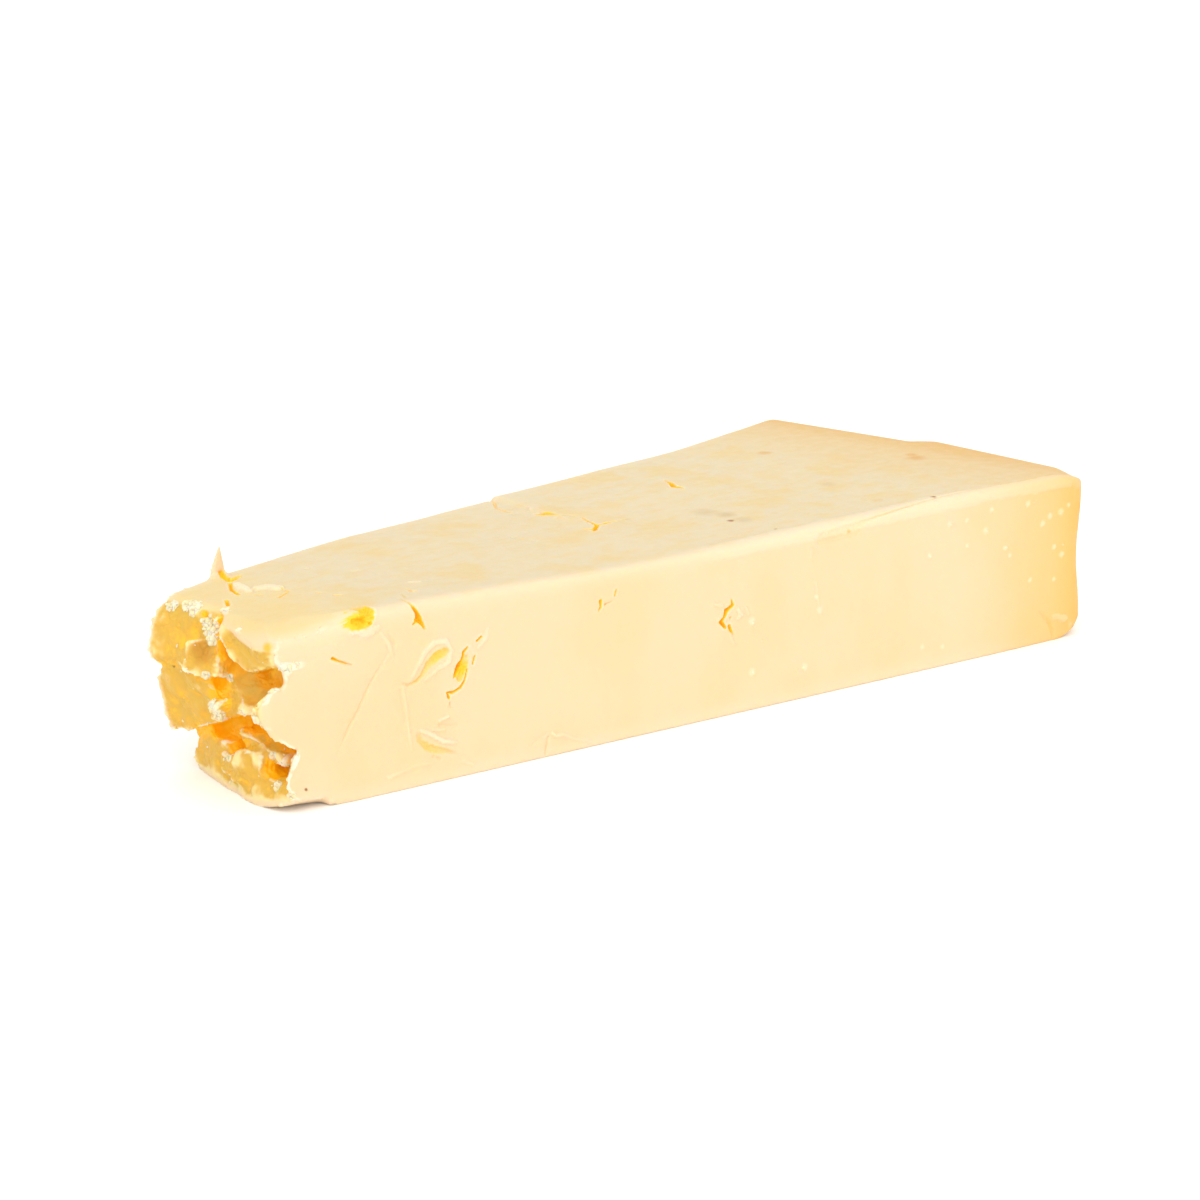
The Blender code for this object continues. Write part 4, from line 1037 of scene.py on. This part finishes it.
offset = add_node(scatter, "ShaderNodeVectorMath", {0: about, "Scale": sizes["Lumpiness"]}, operation="SCALE")
inputs = {"Geometry": whole.outputs[0], "Offset": offset.outputs[0]}
rough_grains = add_node(scatter, "GeometryNodeSetPosition", inputs)
coated = add_node(scatter, "GeometryNodeSetMaterial", {"Geometry": rough_grains.outputs[0], "Material": crumb_curd})
add_node(scatter, "NodeGroupOutput", {"Crumbs": coated.outputs[0]})

crumbs = bpy.data.objects.new("curd_crumbs", cheese.data.copy())
bpy.context.scene.collection.objects.link(crumbs)
crumbs.data.materials.clear()
scattering = crumbs.modifiers.new("scatter", "NODES")
scattering.node_group = scatter
for name, size in (
    ("Spacing", CRUMB_SPACING),
    ("Smallest grain", CRUMB_SMALLEST),
    ("Largest grain", CRUMB_LARGEST),
    ("Lumpiness", CRUMB_LUMPINESS),
):
    scattering[sockets[name]] = size
bake_modifiers(crumbs)
crumbs.data.materials.clear()
crumbs.data.materials.append(crumb_curd)
crumbs.data.polygons.foreach_set("material_index", [0] * len(crumbs.data.polygons))
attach(crumbs, "root")

# The floor: a plain sheet of white studio paper, lit evenly.
bm = bmesh.new()
bmesh.ops.create_grid(bm, x_segments=1, y_segments=1, size=6)
floor = from_bmesh("studio_floor", bm)
paper = bpy.data.materials.new("white_studio_paper")
paper.use_nodes = True
paper_shader = paper.node_tree.nodes["Principled BSDF"]
paper_shader.inputs["Base Color"].default_value = linear("FDFDFD")
paper_shader.inputs["Roughness"].default_value = 0.9
floor.data.materials.append(paper)
floor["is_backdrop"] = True

# Soft studio light: an even white room, a broad key from the front and a weaker one from above
world = bpy.data.worlds.new("white_room")
bpy.context.scene.world = world
world.use_nodes = True
world.node_tree.nodes["Background"].inputs["Color"].default_value = (1, 1, 1, 1)
world.node_tree.nodes["Background"].inputs["Strength"].default_value = 0.9
for name, towards, strength, spread_angle in (
    ("key", (-0.5, -0.75, 0.6), 1.5, 60),
    ("top", (-0.1, 0.1, 1.0), 0.55, 80),
):
    light = bpy.data.lights.new(name, "SUN")
    light.energy = strength
    light.angle = math.radians(spread_angle)
    lamp = bpy.data.objects.new(name, light)
    lamp.rotation_mode = "QUATERNION"
    lamp.rotation_quaternion = Vector(towards).to_track_quat("Z", "Y")
    bpy.context.scene.collection.objects.link(lamp)

# The camera: the photograph's, from the fitted view of the block's eight corners
AZIMUTH = math.radians(-41.75)
ELEVATION = math.radians(15.77)
ROLL = math.radians(0.75)
DISTANCE = 734.2 * MM
LOOK_AT = Vector((-0.84, 3.04, 19.0)) * MM + PLACE
FOCAL_PIXELS = 3401.6
IMAGE_PIXELS = 1200
back = Vector(
    (math.sin(AZIMUTH) * math.cos(ELEVATION), -math.cos(AZIMUTH) * math.cos(ELEVATION), math.sin(ELEVATION))
)
right = Vector((math.cos(AZIMUTH), math.sin(AZIMUTH), 0))
up = right.cross(-back)
camera = bpy.data.objects.new("camera", bpy.data.cameras.new("camera"))
bpy.context.scene.collection.objects.link(camera)
turn = Matrix((right, up, back)).transposed() @ Matrix.Rotation(-ROLL, 3, "Z")
camera.matrix_world = Matrix.Translation(LOOK_AT + back * DISTANCE) @ turn.to_4x4()
camera.data.sensor_width = 36
camera.data.lens = camera.data.sensor_width * FOCAL_PIXELS / IMAGE_PIXELS
camera.data.clip_start = 0.01
camera.data.clip_end = 100
bpy.context.scene.camera = camera
bpy.context.scene.view_settings.view_transform = "Standard"

low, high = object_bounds()
